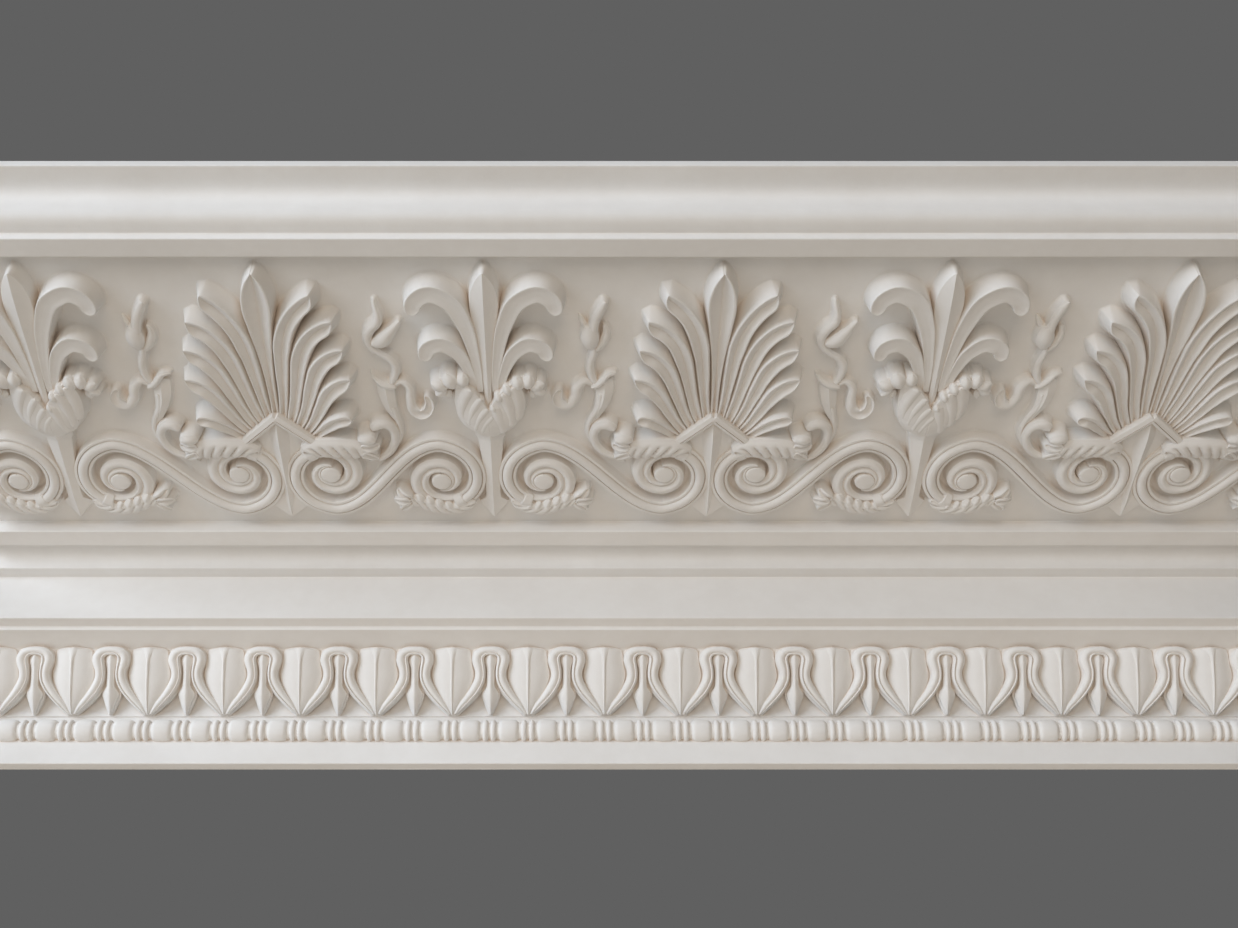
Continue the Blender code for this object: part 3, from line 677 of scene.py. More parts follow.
CUP_RIGHT_FOLDS = (((6.6, 62.4, 2.9, 0.78), (4.8, 71.0, 4.6, 0.95), (3.0, 79.0, 3.2, 1.0)),
                   ((10.4, 66.4, 2.4, 0.8), (9.4, 77.0, 3.8, 0.95), (7.2, 86.4, 3.2, 1.01)),
                   ((13.2, 70.0, 2.3, 0.76), (13.8, 80.0, 3.6, 0.89), (11.8, 89.8, 3.3, 0.99)))
CUP_TIP = ((11, 87.5, 3.4, 0.8), (17, 91.6, 3.6, 0.84), (22, 89.6, 3.2, 0.78), (22.6, 86.0, 2.2, 0.66))
LEFT_KNOBS = ((11.4, 93.2, 2.9, 1.0, 90), (17.4, 92.8, 3.6, 1.02, 70), (22.6, 90.0, 3.1, 0.96, 20),
              (22.0, 85.8, 2.4, 0.84, -40), (18.8, 84.0, 1.9, 0.7, -80))
RIGHT_KNOBS = ((9.4, 88.2, 2.2, 1.05, 110), (14.2, 91.6, 2.8, 1.03, 100), (19.2, 92.2, 3.0, 1.0, 80),
               (23.2, 89.8, 2.8, 0.95, 30), (24.2, 86.0, 2.3, 0.84, -20), (21.2, 84.0, 1.9, 0.7, -80))
RIM_KNOBS = ((2.5, 78.0, 1.8, 1.05, 110), (5.2, 84.2, 2.1, 1.07, 110))


def hollow(q, s, half, fade):
    """Shallow hollow across the face, deepest towards the right edge, with a low roll along the left one."""
    return 0.16 * half * fade * (1.0 - q ** 2) + 0.12 * half * fade * np.clip(-q, 0.0, 1.0)


def domed(q, s, half, fade):
    """Round back, two fifths as high as it is wide."""
    return 0.42 * half * q ** 2


def knob(to_world, across, up, half, share, turn, scale=RELIEF):
    """Blunt rounded lump, a little longer than it is wide, turned by so many degrees."""
    way = 0.62 * half * np.array([math.cos(math.radians(turn)), math.sin(math.radians(turn))])
    low = 1.0 - 0.55 * half / scale
    rows = ((across - 2 * way[0], up - 2 * way[1], half * 0.9, share * low),
            (across, up, half, share), (across + 2 * way[0], up + 2 * way[1], half * 0.9, share * low))
    return stroke(to_world, rows, domed, pitch=0.9, rounds=(half, half), arris=0.6, scale=scale)


def cup_half(to_world):
    """Smooth body of one half of the cup, on rays from its base to its rim.

    Each ray is a quadratic curve from the base past the side to the rim, which rises as a sine from the
    notch.
    """
    v = np.linspace(0.0, 1.0, 21)[None, :, None]
    r = np.linspace(0.0, 1.0, 21)[:, None, None]
    base, side, top = [np.array(pair[0]) + (np.array(pair[1]) - np.array(pair[0])) * v
                       for pair in (CUP_BASE, CUP_SIDE, CUP_TOP)]
    rise = CUP_TOP[0][1] + (CUP_TOP[1][1] - CUP_TOP[0][1]) * np.sin(math.pi / 2.0 * v[..., 0]) ** 0.8
    top = np.stack([top[..., 0], rise], axis=-1)
    plan = base * (1 - r) ** 2 + 2 * side * r * (1 - r) + top * r ** 2
    v, r = v[..., 0], r[..., 0]
    swell = 0.66 + 0.24 * np.sin(math.pi / 2.0 * np.clip(r * 1.6, 0.0, 1.0)) - 0.24 * v ** 4 + 0.04 * r
    return relief(to_world, plan, RELIEF * swell * np.ones_like(v), np.full(swell.shape, 0.4))


def bellflower(axis):
    """Shells of one bellflower."""
    upright = frieze(axis, 1)
    shells = [stroke(upright, BELL_SPEAR, ridged)]
    shells.append(stroke(upright, BELL_STEM, lambda q, s, half, fade: 0.42 * half * np.abs(q), join=straight))
    shells.append(stroke(upright, BELL_HEART, domed, rounds=(0.0, 4.0)))
    halves = ((-1, CUP_LEFT_FOLDS, LEFT_KNOBS), (1, CUP_RIGHT_FOLDS, RIGHT_KNOBS + RIM_KNOBS))
    for side, folds, knobs in halves:
        to_world = frieze(axis, side)
        shells.append(stroke(to_world, UPPER_HOOK, hollow, rounds=(0.0, 2.8)))
        shells.append(stroke(to_world, LOWER_HOOK, hollow, rounds=(0.0, 2.6)))
        shells.append(cup_half(to_world))
        shells += [stroke(to_world, fold, domed, pitch=1.2, rounds=(1.4, 1.2), arris=0.35) for fold in folds]
        shells.append(stroke(to_world, CUP_TIP, domed, pitch=1.2, rounds=(1.0, 2.0), arris=0.6))
        shells += [knob(to_world, *lump) for lump in knobs]
    return shells


shells = [shell for axis in PALMETTE_AXES for shell in bellflower(axis + BELL_AFTER_PALMETTE)]
bellflowers = add_piece("bellflowers", cut_square(shells), CAST_PLASTER)
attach(bellflowers, "root")
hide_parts("plaster_cornice")


# Scroll bands
# S-shaped bands with a roll between two fillets, which join each palmette to the bellflowers beside it. They
# are cast in one with the run. Past a cuff the band goes on as a flatter ribbon of two rolls that winds in
# round a flat eye.
PALMETTE_VOLUTE = (22.5, 35.0)
BELL_VOLUTE = (25.2, 30.6)
VOLUTE_RADIUS = 22.3
VOLUTE_SHRINK = 0.79
CUFF_QUARTER = 1.6
EYE_QUARTER = 6.1
EYE_RADIUS = 4.6
BAND_HEIGHT = 7.2
BAND_HALF_WIDTH = 4.2
BAND_HANDLE = 21.0
RIBBON_HALF_WIDTH = 4.5
RIBBON_TAPER = 2.2
BAND_ACROSS = (0.0, 0.16, 0.32, 0.46, 0.56, 0.62, 0.66, 0.7, 0.75, 0.81, 0.9, 1.0)
RIBBON_ACROSS = (0.0, 0.1, 0.2, 0.26, 0.34, 0.44, 0.56, 0.7, 0.85, 1.0)


def volute(centre, rising, first, last, half_width):
    """Rows of a spiral whose radius shrinks by a fixed share each quarter turn, between two quarters."""
    quarter = np.linspace(first, last, max(6, int((last - first) * 7)))
    radius = VOLUTE_RADIUS * VOLUTE_SHRINK ** quarter
    turn = quarter * math.pi / 2.0
    up = -np.cos(turn) if rising else np.cos(turn)
    line = np.stack([centre[0] - radius * np.sin(turn), centre[1] + radius * up], axis=1)
    return np.column_stack([line, half_width(quarter), np.ones(len(quarter))])


def rolled(q, s, half, fade):
    """Half-round roll in the middle, a sharp groove on each side of it, and a lower fillet at each edge."""
    roll = 2.2 * (1.0 - np.sqrt(np.clip(1.0 - (q / 0.66) ** 2, 0.0, 1.0)))
    fillet = 1.5 + 1.0 * np.clip(1.0 - np.abs(np.abs(q) - 0.69) / 0.06, 0.0, 1.0)
    return half / BAND_HALF_WIDTH * np.where(np.abs(q) < 0.65, roll, fillet)


def coiled(outer):
    """Two rolls side by side, the wider one on the outer side of the coil, with a groove between them."""
    def drop(q, s, half, fade):
        place_out = q * outer
        wide = ((place_out - 0.4) / 0.6) ** 2
        narrow = ((place_out + 0.6) / 0.4) ** 2 + 0.1
        return 0.34 * half * fade * np.minimum(wide, narrow)
    return drop


def tapered(quarter):
    """Half width of the ribbon, full over the first turn and then shrinking evenly to nothing."""
    return RIBBON_HALF_WIDTH * np.clip((EYE_QUARTER + 0.2 - quarter) / RIBBON_TAPER, 0.08, 1.0)


def even(quarter):
    """Half width of the band, the same all along."""
    return np.full(len(quarter), BAND_HALF_WIDTH)


def scroll_band(distance):
    """Rows of the band from the cuff of a palmette's volute to that of the bellflower's, this far away.

    Between its two arcs it is a cubic Bezier curve that leaves each of them level.
    """
    rise = volute(PALMETTE_VOLUTE, True, 0.0, CUFF_QUARTER, even)
    fall = volute(BELL_VOLUTE, False, 0.0, CUFF_QUARTER, even)
    fall[:, 0] = distance - fall[:, 0]
    start, end = rise[0, :2], fall[0, :2]
    handle = np.array([BAND_HANDLE, 0.0])
    s = np.linspace(0.0, 1.0, 14)[1:-1, None]
    link = (start * (1 - s) ** 3 + 3 * (start + handle) * s * (1 - s) ** 2
            + 3 * (end - handle) * s ** 2 * (1 - s) + end * s ** 3)
    sizes = np.tile(rise[0, 2:], (len(link), 1))
    return np.vstack([rise[::-1], np.hstack([link, sizes]), fall])


def eye(to_world, centre):
    """Flat round eye, as a stroke no longer than it is wide."""
    rows = [(centre[0] + shift, centre[1], EYE_RADIUS, 1.0) for shift in (-EYE_RADIUS, EYE_RADIUS)]
    return stroke(to_world, rows, lambda q, s, half, fade: 0.25 * (q ** 2 + (s / EYE_RADIUS - 1.0) ** 2),
                  rounds=(EYE_RADIUS, EYE_RADIUS), scale=BAND_HEIGHT - 0.2)


def neighbours(axis, side):
    """Distance from a palmette to the bellflower on this side of it, and a map from the sheet of each."""
    gap = BELL_AFTER_PALMETTE if side > 0 else MOTIF_PITCH - BELL_AFTER_PALMETTE
    return gap, frieze(axis, side), frieze(axis + side * gap, -side)


def scrolls(axis, side):
    """Shells of the band, ribbons and eyes between a palmette and the bellflower on this side of it."""
    gap, near, far = neighbours(axis, side)
    shells = [stroke(near, scroll_band(gap), rolled, pitch=1.4, across=BAND_ACROSS, scale=BAND_HEIGHT)]
    for to_world, centre, rising in ((near, PALMETTE_VOLUTE, True), (far, BELL_VOLUTE, False)):
        rows = volute(centre, rising, CUFF_QUARTER - 0.1, EYE_QUARTER, tapered)
        shells.append(stroke(to_world, rows, coiled(1 if rising else -1), pitch=0.9, across=RIBBON_ACROSS,
                             arris=0.4, scale=BAND_HEIGHT - 0.9))
        cuff = volute(centre, rising, CUFF_QUARTER - 0.06, CUFF_QUARTER + 0.1,
                      lambda quarter: even(quarter) + 0.3)
        shells.append(stroke(to_world, cuff, domed, pitch=0.8, arris=0.6, scale=BAND_HEIGHT + 0.3))
        shells.append(eye(to_world, centre))
    return shells


shells = [shell for axis in PALMETTE_AXES for side in (-1, 1) for shell in scrolls(axis, side)]
bands = add_piece("scroll_bands", cut_square(shells), CAST_PLASTER)
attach(bands, "root")
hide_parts("plaster_cornice")


# Husks
# Fluted leaf sheaths where each volute leaves its cuff, above it on a palmette and below it on a bellflower,
# cast in one with the run. Sharp leaning cuts part their flutes, the edge by the volute is scalloped, and
# their tips are crumpled lobes.
PALMETTE_HUSK = ((11, 49.5, 3.0, 0.7), (15, 51.8, 4.6, 0.82), (22, 52.8, 5.4, 0.88), (30, 52.8, 5.6, 0.9),
                 (37, 51.8, 5.4, 0.86), (42, 49.8, 4.4, 0.78), (46, 47.4, 2.4, 0.62))
PALMETTE_HUSK_LOBES = (((38.6, 58.0, 2.0, 0.86), (42.8, 58.8, 3.1, 1.0), (46.8, 57.8, 2.3, 0.88)),
                       ((39.6, 54.2, 2.2, 0.84), (44.2, 53.2, 2.8, 0.88), (48.0, 54.4, 1.8, 0.66)),
                       ((40.0, 49.4, 2.2, 0.84), (43.6, 47.2, 2.3, 0.76), (46.6, 44.6, 1.4, 0.56)))
BELL_HUSK = ((9.4, 18.6, 1.8, 0.6), (14.6, 14.4, 2.9, 0.64), (22, 13.4, 3.6, 0.68), (29, 14.8, 3.9, 0.7),
             (35, 17.4, 3.6, 0.68), (41, 19.4, 3.0, 0.64))
BELL_HUSK_KNOBS = ((17.8, 15.4, 1.9, 0.68, 60), (22.2, 15.4, 2.2, 0.71, 62), (26.9, 16.7, 2.3, 0.73, 66),
                   (31.6, 18.4, 2.3, 0.73, 68), (36.2, 20.2, 2.3, 0.72, 66))
BELL_HUSK_LOBES = (((40.6, 20.2, 2.2, 0.68), (44.4, 22.6, 2.5, 0.76), (47.2, 25.8, 1.3, 0.54)),
                   ((41.6, 18.8, 2.2, 0.7), (45.8, 18.6, 2.7, 0.74), (49.6, 18.8, 1.3, 0.52)),
                   ((40.6, 17.4, 2.0, 0.62), (43.8, 14.8, 2.4, 0.66), (46.4, 11.6, 1.3, 0.48)))
FLUTE_PITCH = 5.4
FLUTE_SHARPNESS = 0.3
HUSK_ACROSS = (0.0, 0.12, 0.25, 0.38, 0.5, 0.62, 0.74, 0.86, 1.0)


def flutes(lean, q, s):
    """One on the back of each leaning flute and nothing in the sharp cut between two, as a root of a sine."""
    return np.abs(np.sin(math.pi * (s / FLUTE_PITCH + lean * q))) ** FLUTE_SHARPNESS


def fluted(lean, cut_side, depth):
    """Round back with cuts that fade out towards the plain edge."""
    def drop(q, s, half, fade):
        window = np.clip((cut_side * q + 0.55) / 0.6, 0.0, 1.0)
        return 0.3 * half * np.abs(q) ** 2.2 + depth * (1.0 - flutes(lean, q, s)) * window
    return drop


def scalloped(lean, cut_side, size):
    """Swell of the plan at the cut edge, largest in the middle of each flute."""
    def edge(q, s):
        return 1.0 + size * (flutes(lean, q, s) - 0.6) * np.clip(cut_side * q, 0.0, 1.0) ** 2
    return edge


def folded(q, s, half, fade):
    """Lobe with a fold down its middle and one flank lower than the other."""
    return 0.5 * half * fade * np.clip(1.0 - np.abs(q) / 0.6, 0.0, 1.0) + 0.3 * half * (1.0 - q) / 2.0


def husks(axis, side):
    """Shells of the two husks between a palmette and the bellflower on this side of it."""
    near, far = neighbours(axis, side)[1:]
    shells = [stroke(near, PALMETTE_HUSK, fluted(0.6, -1, 2.6), pitch=0.6, across=HUSK_ACROSS,
                     rounds=(1.5, 2.0), arris=0.6, edge=scalloped(0.6, -1, 0.26))]
    shells.append(stroke(near, PALMETTE_HUSK_LOBES[0], domed, pitch=1.0, rounds=(1.8, 2.2)))
    shells += [stroke(near, lobe, folded, pitch=0.9, rounds=(1.2, 1.4)) for lobe in PALMETTE_HUSK_LOBES[1:]]
    shells.append(stroke(far, BELL_HUSK, fluted(-0.7, -1, 1.8), pitch=0.6, across=HUSK_ACROSS,
                         rounds=(1.5, 2.0), arris=0.5, edge=scalloped(-0.7, -1, 0.18)))
    shells += [knob(far, *lump) for lump in BELL_HUSK_KNOBS]
    shells += [stroke(far, lobe, folded, pitch=0.9, rounds=(1.0, 1.2)) for lobe in BELL_HUSK_LOBES]
    return shells


shells = [shell for axis in PALMETTE_AXES for side in (-1, 1) for shell in husks(axis, side)]
sheaths = add_piece("volute_husks", cut_square(shells), CAST_PLASTER)
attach(sheaths, "root")
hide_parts("plaster_cornice")


# Tendrils
# Thin stems between the motifs, cast in one with the run: a blade that leaves the husk, a hooked shoot, a
# horn, a curl and a bud at the top, which is closed on the left of a palmette and split on its right.
TENDRIL_RELIEF = 5.2
LEFT_TENDRIL = {
    "blade": ((41.5, 40.6, 0.9, 0.5), (53.2, 47.6, 1.3, 0.6), (58.2, 54.0, 1.4, 0.7), (60.0, 60.5, 1.4, 0.8),
              (58.4, 67.5, 1.5, 0.9), (55.0, 74.5, 1.7, 1.0), (54.2, 82.3, 1.6, 1.0)),
    "shoot": ((44.8, 44.1, 1.7, 0.9), (52.0, 47.2, 2.0, 1.0), (56.4, 53.4, 2.0, 1.1), (57.2, 59.5, 2.1, 1.2),
              (54.8, 64.0, 2.4, 1.35), (50.6, 65.2, 2.8, 1.45), (47.6, 62.6, 2.5, 1.4)),
    "horn": ((57.8, 64.5, 1.3, 0.7), (55.3, 71.5, 2.3, 0.95), (53.0, 78.4, 3.5, 1.1), (52.2, 84.3, 4.2, 1.0),
             (52.4, 89.6, 4.2, 0.7)),
    "lip": ((46.8, 93.2, 0.8, 0.7), (50.3, 93.4, 1.3, 1.05), (53.0, 90.4, 1.5, 1.15), (55.8, 87.4, 1.5, 1.1),
            (58.4, 86.0, 1.3, 0.95)),
    "neck": ((55.6, 87.1, 1.5, 0.9), (58.8, 93.4, 1.8, 0.95), (59.0, 99.5, 1.8, 0.9), (57.6, 104.2, 1.6, 0.9),
             (57.2, 108.0, 1.3, 0.9)),
    "curl": ((57.5, 86.6, 1.4, 0.8), (61.6, 89.2, 1.9, 0.95), (64.8, 86.2, 2.4, 1.1), (66.0, 80.4, 2.5, 1.15),
             (69.4, 76.4, 2.8, 1.25), (73.2, 78.2, 3.0, 1.3), (74.4, 82.3, 2.4, 1.2), (72.8, 85.0, 1.3, 1.0)),
    "bud": ((58.0, 107.5, 1.8, 0.9), (59.0, 112.2, 4.1, 1.35), (59.2, 116.3, 3.9, 1.35),
            (58.5, 119.9, 2.4, 1.1)),
    "beak": ((57.8, 116.6, 2.2, 1.2), (57.0, 122.9, 2.3, 1.15), (54.9, 128.0, 2.4, 1.1),
             (52.2, 133.2, 1.9, 1.0)),
    "sepal": ((56.5, 106.3, 1.1, 0.8), (53.0, 111.2, 2.0, 0.9), (51.7, 116.2, 1.6, 0.8),
              (52.9, 120.2, 0.8, 0.7)),
    "wisp": ((60.6, 117.9, 1.4, 0.8), (62.7, 121.7, 1.2, 0.5), (64.1, 124.4, 0.6, 0.2))}
RIGHT_TENDRIL = {
    "blade": ((41.5, 40.6, 0.9, 0.5), (51.2, 46.4, 1.3, 0.6), (56.6, 52.8, 1.4, 0.7), (58.6, 59.8, 1.5, 0.8),
              (57.7, 67.5, 1.7, 0.9), (56.0, 74.5, 1.9, 1.0)),
    "shoot": ((46.6, 42.8, 1.7, 0.9), (53.2, 48.6, 2.1, 1.0), (55.8, 57.0, 2.1, 1.15), (54.9, 62.6, 2.3, 1.3),
              (52.0, 65.4, 2.5, 1.4), (48.2, 65.2, 2.7, 1.45), (45.8, 62.4, 2.2, 1.35)),
    "horn": ((57.6, 66.5, 1.3, 0.8), (55.3, 73.5, 2.8, 1.0), (54.1, 79.4, 3.7, 1.1), (53.4, 85.2, 4.0, 0.95),
             (52.7, 88.6, 3.8, 0.7)),
    "lip": ((47.3, 93.1, 0.5, 0.6), (51.2, 88.6, 1.6, 1.05), (54.8, 87.0, 1.8, 1.15), (58.4, 86.2, 1.3, 1.0)),
    "neck": ((55.7, 86.8, 1.5, 0.9), (58.4, 92.4, 1.8, 0.95), (59.0, 98.1, 2.0, 1.0), (56.3, 102.4, 1.8, 1.0),
             (52.0, 105.3, 1.8, 0.95), (48.4, 108.9, 2.0, 1.0), (47.3, 114.2, 2.3, 1.15),
             (49.3, 118.6, 2.4, 1.2), (52.4, 121.9, 2.3, 1.15), (53.1, 126.2, 1.7, 1.0),
             (52.1, 130.6, 1.3, 0.8), (51.9, 133.6, 1.0, 0.6)),
    "curl": ((57.2, 85.6, 1.3, 0.8), (61.4, 88.9, 1.6, 0.9), (64.5, 86.0, 1.8, 1.0), (64.8, 79.6, 2.1, 1.1),
             (65.8, 73.8, 2.6, 1.2), (69.2, 71.2, 2.8, 1.25), (72.8, 73.4, 2.6, 1.2), (73.8, 77.9, 2.1, 1.1),
             (71.8, 81.0, 1.2, 0.9)),
    "bud": ((49.2, 110.8, 1.8, 1.1), (54.0, 112.6, 3.7, 1.4), (57.4, 116.5, 2.9, 1.3),
            (60.4, 119.8, 1.7, 1.0), (62.8, 122.4, 1.3, 0.8))}
CUP_HOLLOW = 0.8
SCOOP_START = 20.0
SCOOP_BLEND = 8.0


def backed(q, s, half, fade):
    """Round back: the height of a flattened ellipse across the stroke, down to a low edge."""
    return 0.7 * half * (1.0 - np.sqrt(np.clip(1.0 - 0.94 * q ** 2, 0.0, 1.0)))


def twisted(q, s, half, fade):
    """Round back that turns into a scooped one towards the end of the stroke."""
    scoop = np.clip((s - SCOOP_START) / SCOOP_BLEND, 0.0, 1.0)
    return backed(q, s, half, fade) * (1.0 - scoop) + scoop * CUP_HOLLOW * half * fade * (1.0 - q ** 2)


TENDRIL_BACKS = {"horn": ridged, "curl": twisted}


def tendril(axis, side):
    """Shells of the stem on this side of a palmette."""
    to_world = frieze(axis, side)
    shells = []
    for name, rows in (RIGHT_TENDRIL if side > 0 else LEFT_TENDRIL).items():
        shells.append(stroke(to_world, rows, TENDRIL_BACKS.get(name, backed), pitch=1.2, rounds=(0.8, 1.3),
                             scale=TENDRIL_RELIEF, arris=0.45))
    return shells


shells = [shell for axis in PALMETTE_AXES for side in (-1, 1) for shell in tendril(axis, side)]
tendrils = add_piece("tendrils", cut_square(shells), CAST_PLASTER)
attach(tendrils, "root")
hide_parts("plaster_cornice")


# Leaf-and-dart
# Looped straps over darts on the bed mould, with a ribbed water leaf between each two of them, cast in one
# with the run. They are drawn on a sheet that runs down the slope from its top edge, and their walls go on
# down into the hollow at its foot.
LEAF_PITCH = 38.2
LEAF_AT = 11.6
LEAF_RELIEF = 4.4
BED_SINK = 4.3
BED_SLOPE = 33.5
STRAP_SIDE = ((17.8, 32.5, 0.7, 0.5), (15.0, 28.7, 1.6, 0.72), (11.2, 24.4, 2.0, 0.88), (7.6, 19.6, 2.4, 1.0),
              (5.3, 14.5, 2.5, 1.1), (5.2, 10.5, 2.5, 1.16), (5.9, 7.6, 2.8, 1.18), (6.4, 4.8, 3.0, 1.18),
              (5.6, 2.6, 2.8, 1.16), (3.5, 1.2, 2.2, 1.15))
STRAP_HEAD = ((0.0, 0.8, 2.0, 1.15),)
DART = ((0, 2.5, 2.3, 0.9), (0, 5.4, 3.1, 1.04), (0, 9.2, 2.1, 0.98), (0, 15, 1.9, 0.95), (0, 19, 2.1, 0.95),
        (0, 22, 4.0, 0.98), (0, 26.5, 2.7, 0.82), (0, 32.6, 0.5, 0.42))
WATER_LEAF = ((19.0, -0.5, 8.6, 0.7), (19.0, 2.6, 9.2, 0.9), (19.0, 8, 9.8, 1.0), (19.0, 13, 10.6, 1.04),
              (19.0, 18, 9.4, 1.02), (19.0, 24, 6.0, 0.9), (19.0, 29, 2.8, 0.7), (19.0, 32.6, 0.8, 0.45))
RIB_ACROSS = (0.0, 0.5, 1.0)
WATER_ACROSS = (0.0, 0.12, 0.24, 0.36, 0.48, 0.6, 0.72, 0.86, 1.0)
LEAF_RIB = ((18.8, -0.4, 4.0, 0.84), (18.8, 1.4, 2.3, 1.02), (18.8, 4.4, 1.05, 1.14), (18.8, 12, 0.75, 1.2),
            (18.8, 22, 0.55, 1.1), (18.9, 32, 0.3, 0.6))
STRAP_ACROSS = (0.0, 0.12, 0.24, 0.34, 0.44, 0.54, 0.64, 0.76, 0.88, 1.0)


def bed_mould(axis):
    """Map from the sheet of the bed mould to the world, with distances down the slope from its top."""
    slope = (MARKS["bed_foot"] - MARKS["bed_top"]) / BED_SLOPE
    outward = np.array([-slope[1], slope[0]]) / np.linalg.norm(slope)

    def to_world(across, down, height):
        return place(axis + across, MARKS["bed_top"][0] + slope[0] * down + outward[0] * height,
                     MARKS["bed_top"][1] + slope[1] * down + outward[1] * height)
    return to_world


def strapped(q, s, half, fade):
    """Broad round flank on the outer side, a groove, and a thin round line along the inner edge."""
    flank = 0.42 * half * ((q - 0.2) / 0.8) ** 2
    line = 0.1 + 0.26 * half * ((q + 0.8) / 0.2) ** 2
    return np.minimum(flank, line)


def swelling(q, s, half, fade):
    """Surface that falls away from its middle to both edges, as the square of the place across."""
    return 0.3 * half * q ** 2


def leaf_and_dart(axis):
    """Shells of one looped strap round a dart, and the water leaf that follows it."""
    to_world = bed_mould(axis)
    other_side = tuple((-across, down, half, share) for across, down, half, share in STRAP_SIDE[::-1])
    strap = STRAP_SIDE + STRAP_HEAD + other_side
    return [stroke(to_world, strap, strapped, pitch=1.4, across=STRAP_ACROSS, scale=LEAF_RELIEF, arris=0.35,
                   rounds=(0.6, 0.6), sink=BED_SINK),
            stroke(to_world, DART, lambda q, s, half, fade: 0.6 * half * np.abs(q) ** 1.5, pitch=1.5,
                   scale=LEAF_RELIEF, arris=0.3, rounds=(2.4, 0.5), sink=BED_SINK),
            stroke(to_world, WATER_LEAF, swelling, pitch=1.6, across=WATER_ACROSS, scale=LEAF_RELIEF,
                   arris=0.5, rounds=(1.4, 0.6), sink=BED_SINK),
            stroke(to_world, LEAF_RIB, domed, pitch=1.6, across=RIB_ACROSS, scale=LEAF_RELIEF, arris=0.2)]


LEAF_AXES = repeats(LEAF_AT, LEAF_PITCH, LENGTH / 2.0 + LEAF_PITCH)
shells = [shell for axis in LEAF_AXES for shell in leaf_and_dart(axis)]
leaf_course = add_piece("leaf_and_dart", cut_square(shells), CAST_PLASTER)
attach(leaf_course, "root")
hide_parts("plaster_cornice")


# Bead-and-reel
# Squarish barrel beads parted by pairs of thin reels on a core, half sunk in the upright face over the foot.
# They are turned forms, cast in one with the run: a profile carried round an axis that runs along it.
BEAD_PITCH = LEAF_PITCH / 2.0
BEAD_AXIS_OUT = 6.0
BEAD_AXIS_HEIGHT = 19.4
BEAD_HALF_LENGTH = 5.35
BEAD_RADIUS = 5.8
BEAD_CORNER = 2.8
REEL_AT = 1.95
REEL_HALF = 1.4
REEL_RADIUS = 5.7
CORE_RADIUS = 4.3
AROUND = 28


def turned(centre, along, radius):
    """Closed form turned about the bead axis: each point of the profile goes round in its own circle."""
    angle = np.arange(AROUND) * 2.0 * math.pi / AROUND
    out = BEAD_AXIS_OUT + radius[:, None] * np.cos(angle)
    height = BEAD_AXIS_HEIGHT + radius[:, None] * np.sin(angle)
    points = place(np.broadcast_to(centre + along[:, None], out.shape), out, height)
    rows = len(along)
    faces = grid_faces(rows, AROUND, True).tolist()
    last = (rows - 1) * AROUND
    return points.reshape(-1, 3), faces + [list(range(AROUND)), list(range(last, last + AROUND))]


def bead(centre):
    """Barrel with round shoulders: a quarter ellipse at each end of a slightly swelling side."""
    shoulder = np.linspace(0.1, math.pi / 2.0, 8)
    end_at = BEAD_HALF_LENGTH - BEAD_CORNER * (1.0 - np.cos(shoulder))
    end_radius = BEAD_RADIUS - BEAD_CORNER * (1.0 - np.sin(shoulder)) - 0.12
    return turned(centre, np.concatenate([-end_at, [-1.7, 0.0, 1.7], end_at[::-1]]),
                  np.concatenate([end_radius, [BEAD_RADIUS - 0.03, BEAD_RADIUS, BEAD_RADIUS - 0.03],
                                  end_radius[::-1]]))


def reel(centre):
    """Thin disc with a rounded rim."""
    angle = np.linspace(0.0, math.pi, 11)
    rim = REEL_RADIUS - REEL_HALF * (1.0 - np.sin(angle))
    return turned(centre, np.concatenate([[-REEL_HALF], -REEL_HALF * np.cos(angle), [REEL_HALF]]),
                  np.concatenate([[2.0], rim, [2.0]]))


ends = LENGTH / 2.0 - 0.01
shells = [turned(0.0, np.linspace(-ends, ends, 9), np.full(9, CORE_RADIUS))]
for centre in repeats(LEAF_AT + BEAD_PITCH / 2.0, BEAD_PITCH, LENGTH / 2.0 + BEAD_PITCH):
    middle = centre + BEAD_PITCH / 2.0
    shells += [bead(centre), reel(middle - REEL_AT), reel(middle + REEL_AT)]
beads = add_piece("bead_and_reel", cut_square(shells), CAST_PLASTER)
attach(beads, "root")
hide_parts("plaster_cornice")


# Floor, light and camera
# A plain pale floor far below and plain grey all round. A large cool lamp stands well to the left at the
# level of the cast, a warm one in front and below, a low warm one under the wall side, and a weak one behind.
# The camera looks up at the soffit at 52 degrees from three quarters of a metre.
FLOOR_HEIGHT = -1.3
FLOOR_HALF = 6.0
FLOOR_COLOUR = "d8d3ca"
BACKGROUND = "606060"
CAMERA_AT = (-0.0184, -0.54997, -0.4849)
CAMERA_TILT = math.radians(52.0)
FOCAL_PIXELS = 1435.0
PICTURE_WIDTH = 1238.0
PRINCIPAL_COLUMN = 583.0
SENSOR = 36.0

corners = [(-FLOOR_HALF, -FLOOR_HALF, FLOOR_HEIGHT), (FLOOR_HALF, -FLOOR_HALF, FLOOR_HEIGHT),
           (FLOOR_HALF, FLOOR_HALF, FLOOR_HEIGHT), (-FLOOR_HALF, FLOOR_HALF, FLOOR_HEIGHT)]
floor_mesh = bpy.data.meshes.new("floor")
floor_mesh.from_pydata(corners, [], [(0, 1, 2, 3)])
floor_material, tree, shader = matt_material("pale_painted_floor", 0.9, 0.5)
shader.inputs["Base Color"].default_value = linear(FLOOR_COLOUR)
floor_mesh.materials.append(floor_material)
floor = bpy.data.objects.new("floor", floor_mesh)
bpy.context.scene.collection.objects.link(floor)


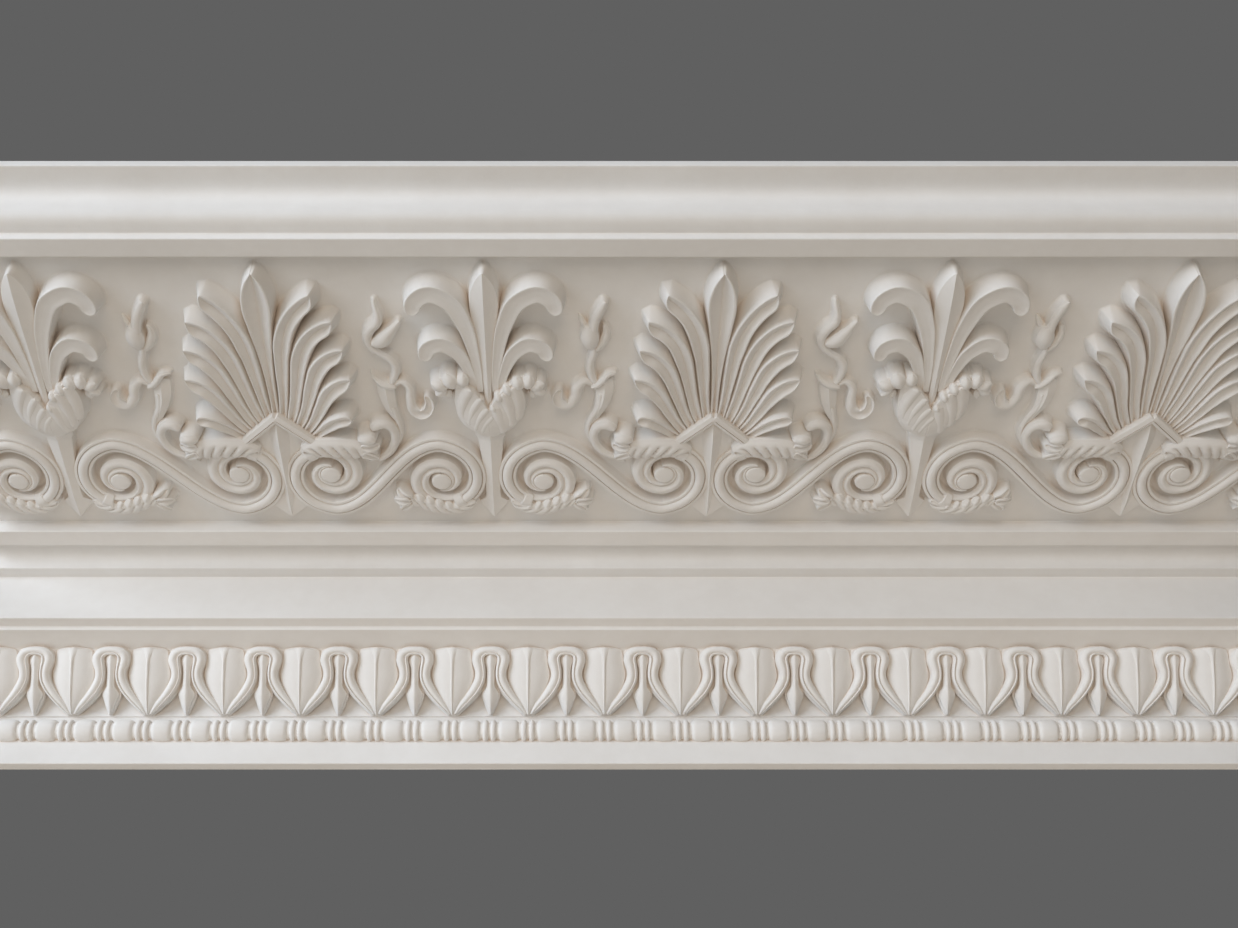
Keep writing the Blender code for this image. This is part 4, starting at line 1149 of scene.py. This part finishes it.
def lamp(name, at, aim, size, power, colour):
    """Soft oblong lamp at a place, turned to face another."""
    light = bpy.data.lights.new(name, "AREA")
    light.shape = "RECTANGLE"
    light.size, light.size_y = size
    light.energy = power
    light.color = linear(colour)[:3]
    thing = bpy.data.objects.new(name, light)
    bpy.context.scene.collection.objects.link(thing)
    thing.location = at
    thing.rotation_mode = "QUATERNION"
    way = np.array(aim) - np.array(at)
    thing.rotation_quaternion = Vector(way).to_track_quat("-Z", "Y")
    return thing


def towards(turn, rise, reach):
    """Point this far from the middle of the cast, so many degrees to its left and under its level."""
    turn, rise = math.radians(turn), math.radians(rise)
    way = (-math.sin(turn) * math.cos(rise), -math.cos(turn) * math.cos(rise), -math.sin(rise))
    return tuple(m + reach * w for m, w in zip(MIDDLE, way))


MIDDLE = (0.0, -0.15, 0.05)
lamp("key_lamp", towards(50.0, 2.0, 2.8), MIDDLE, (1.77, 1.77), 65.5, "e7f2ff")
lamp("front_fill", towards(0.0, 25.0, 1.9), MIDDLE, (1.0, 1.0), 7.9, "ffe9cf")
lamp("wall_glow", (0.0, 0.02, -0.35), MIDDLE, (1.6, 0.3), 0.7, "ffead4")
lamp("back_fill", (0.9, 2.0, 1.2), MIDDLE, (1.6, 1.6), 15.0, "fffaf2")

world = bpy.data.worlds.new("studio")
world.use_nodes = True
world.node_tree.nodes["Background"].inputs["Color"].default_value = linear(BACKGROUND)
bpy.context.scene.world = world
bpy.context.scene.view_settings.view_transform = "Standard"

camera = bpy.data.cameras.new("camera")
camera.sensor_width = SENSOR
camera.lens = FOCAL_PIXELS / PICTURE_WIDTH * SENSOR
camera.shift_x = (PICTURE_WIDTH / 2.0 - PRINCIPAL_COLUMN) / PICTURE_WIDTH
camera.clip_start = 0.01
eye_point = bpy.data.objects.new("camera", camera)
bpy.context.scene.collection.objects.link(eye_point)
eye_point.location = CAMERA_AT
eye_point.rotation_euler = (math.pi / 2.0 + CAMERA_TILT, 0.0, 0.0)
bpy.context.scene.camera = eye_point
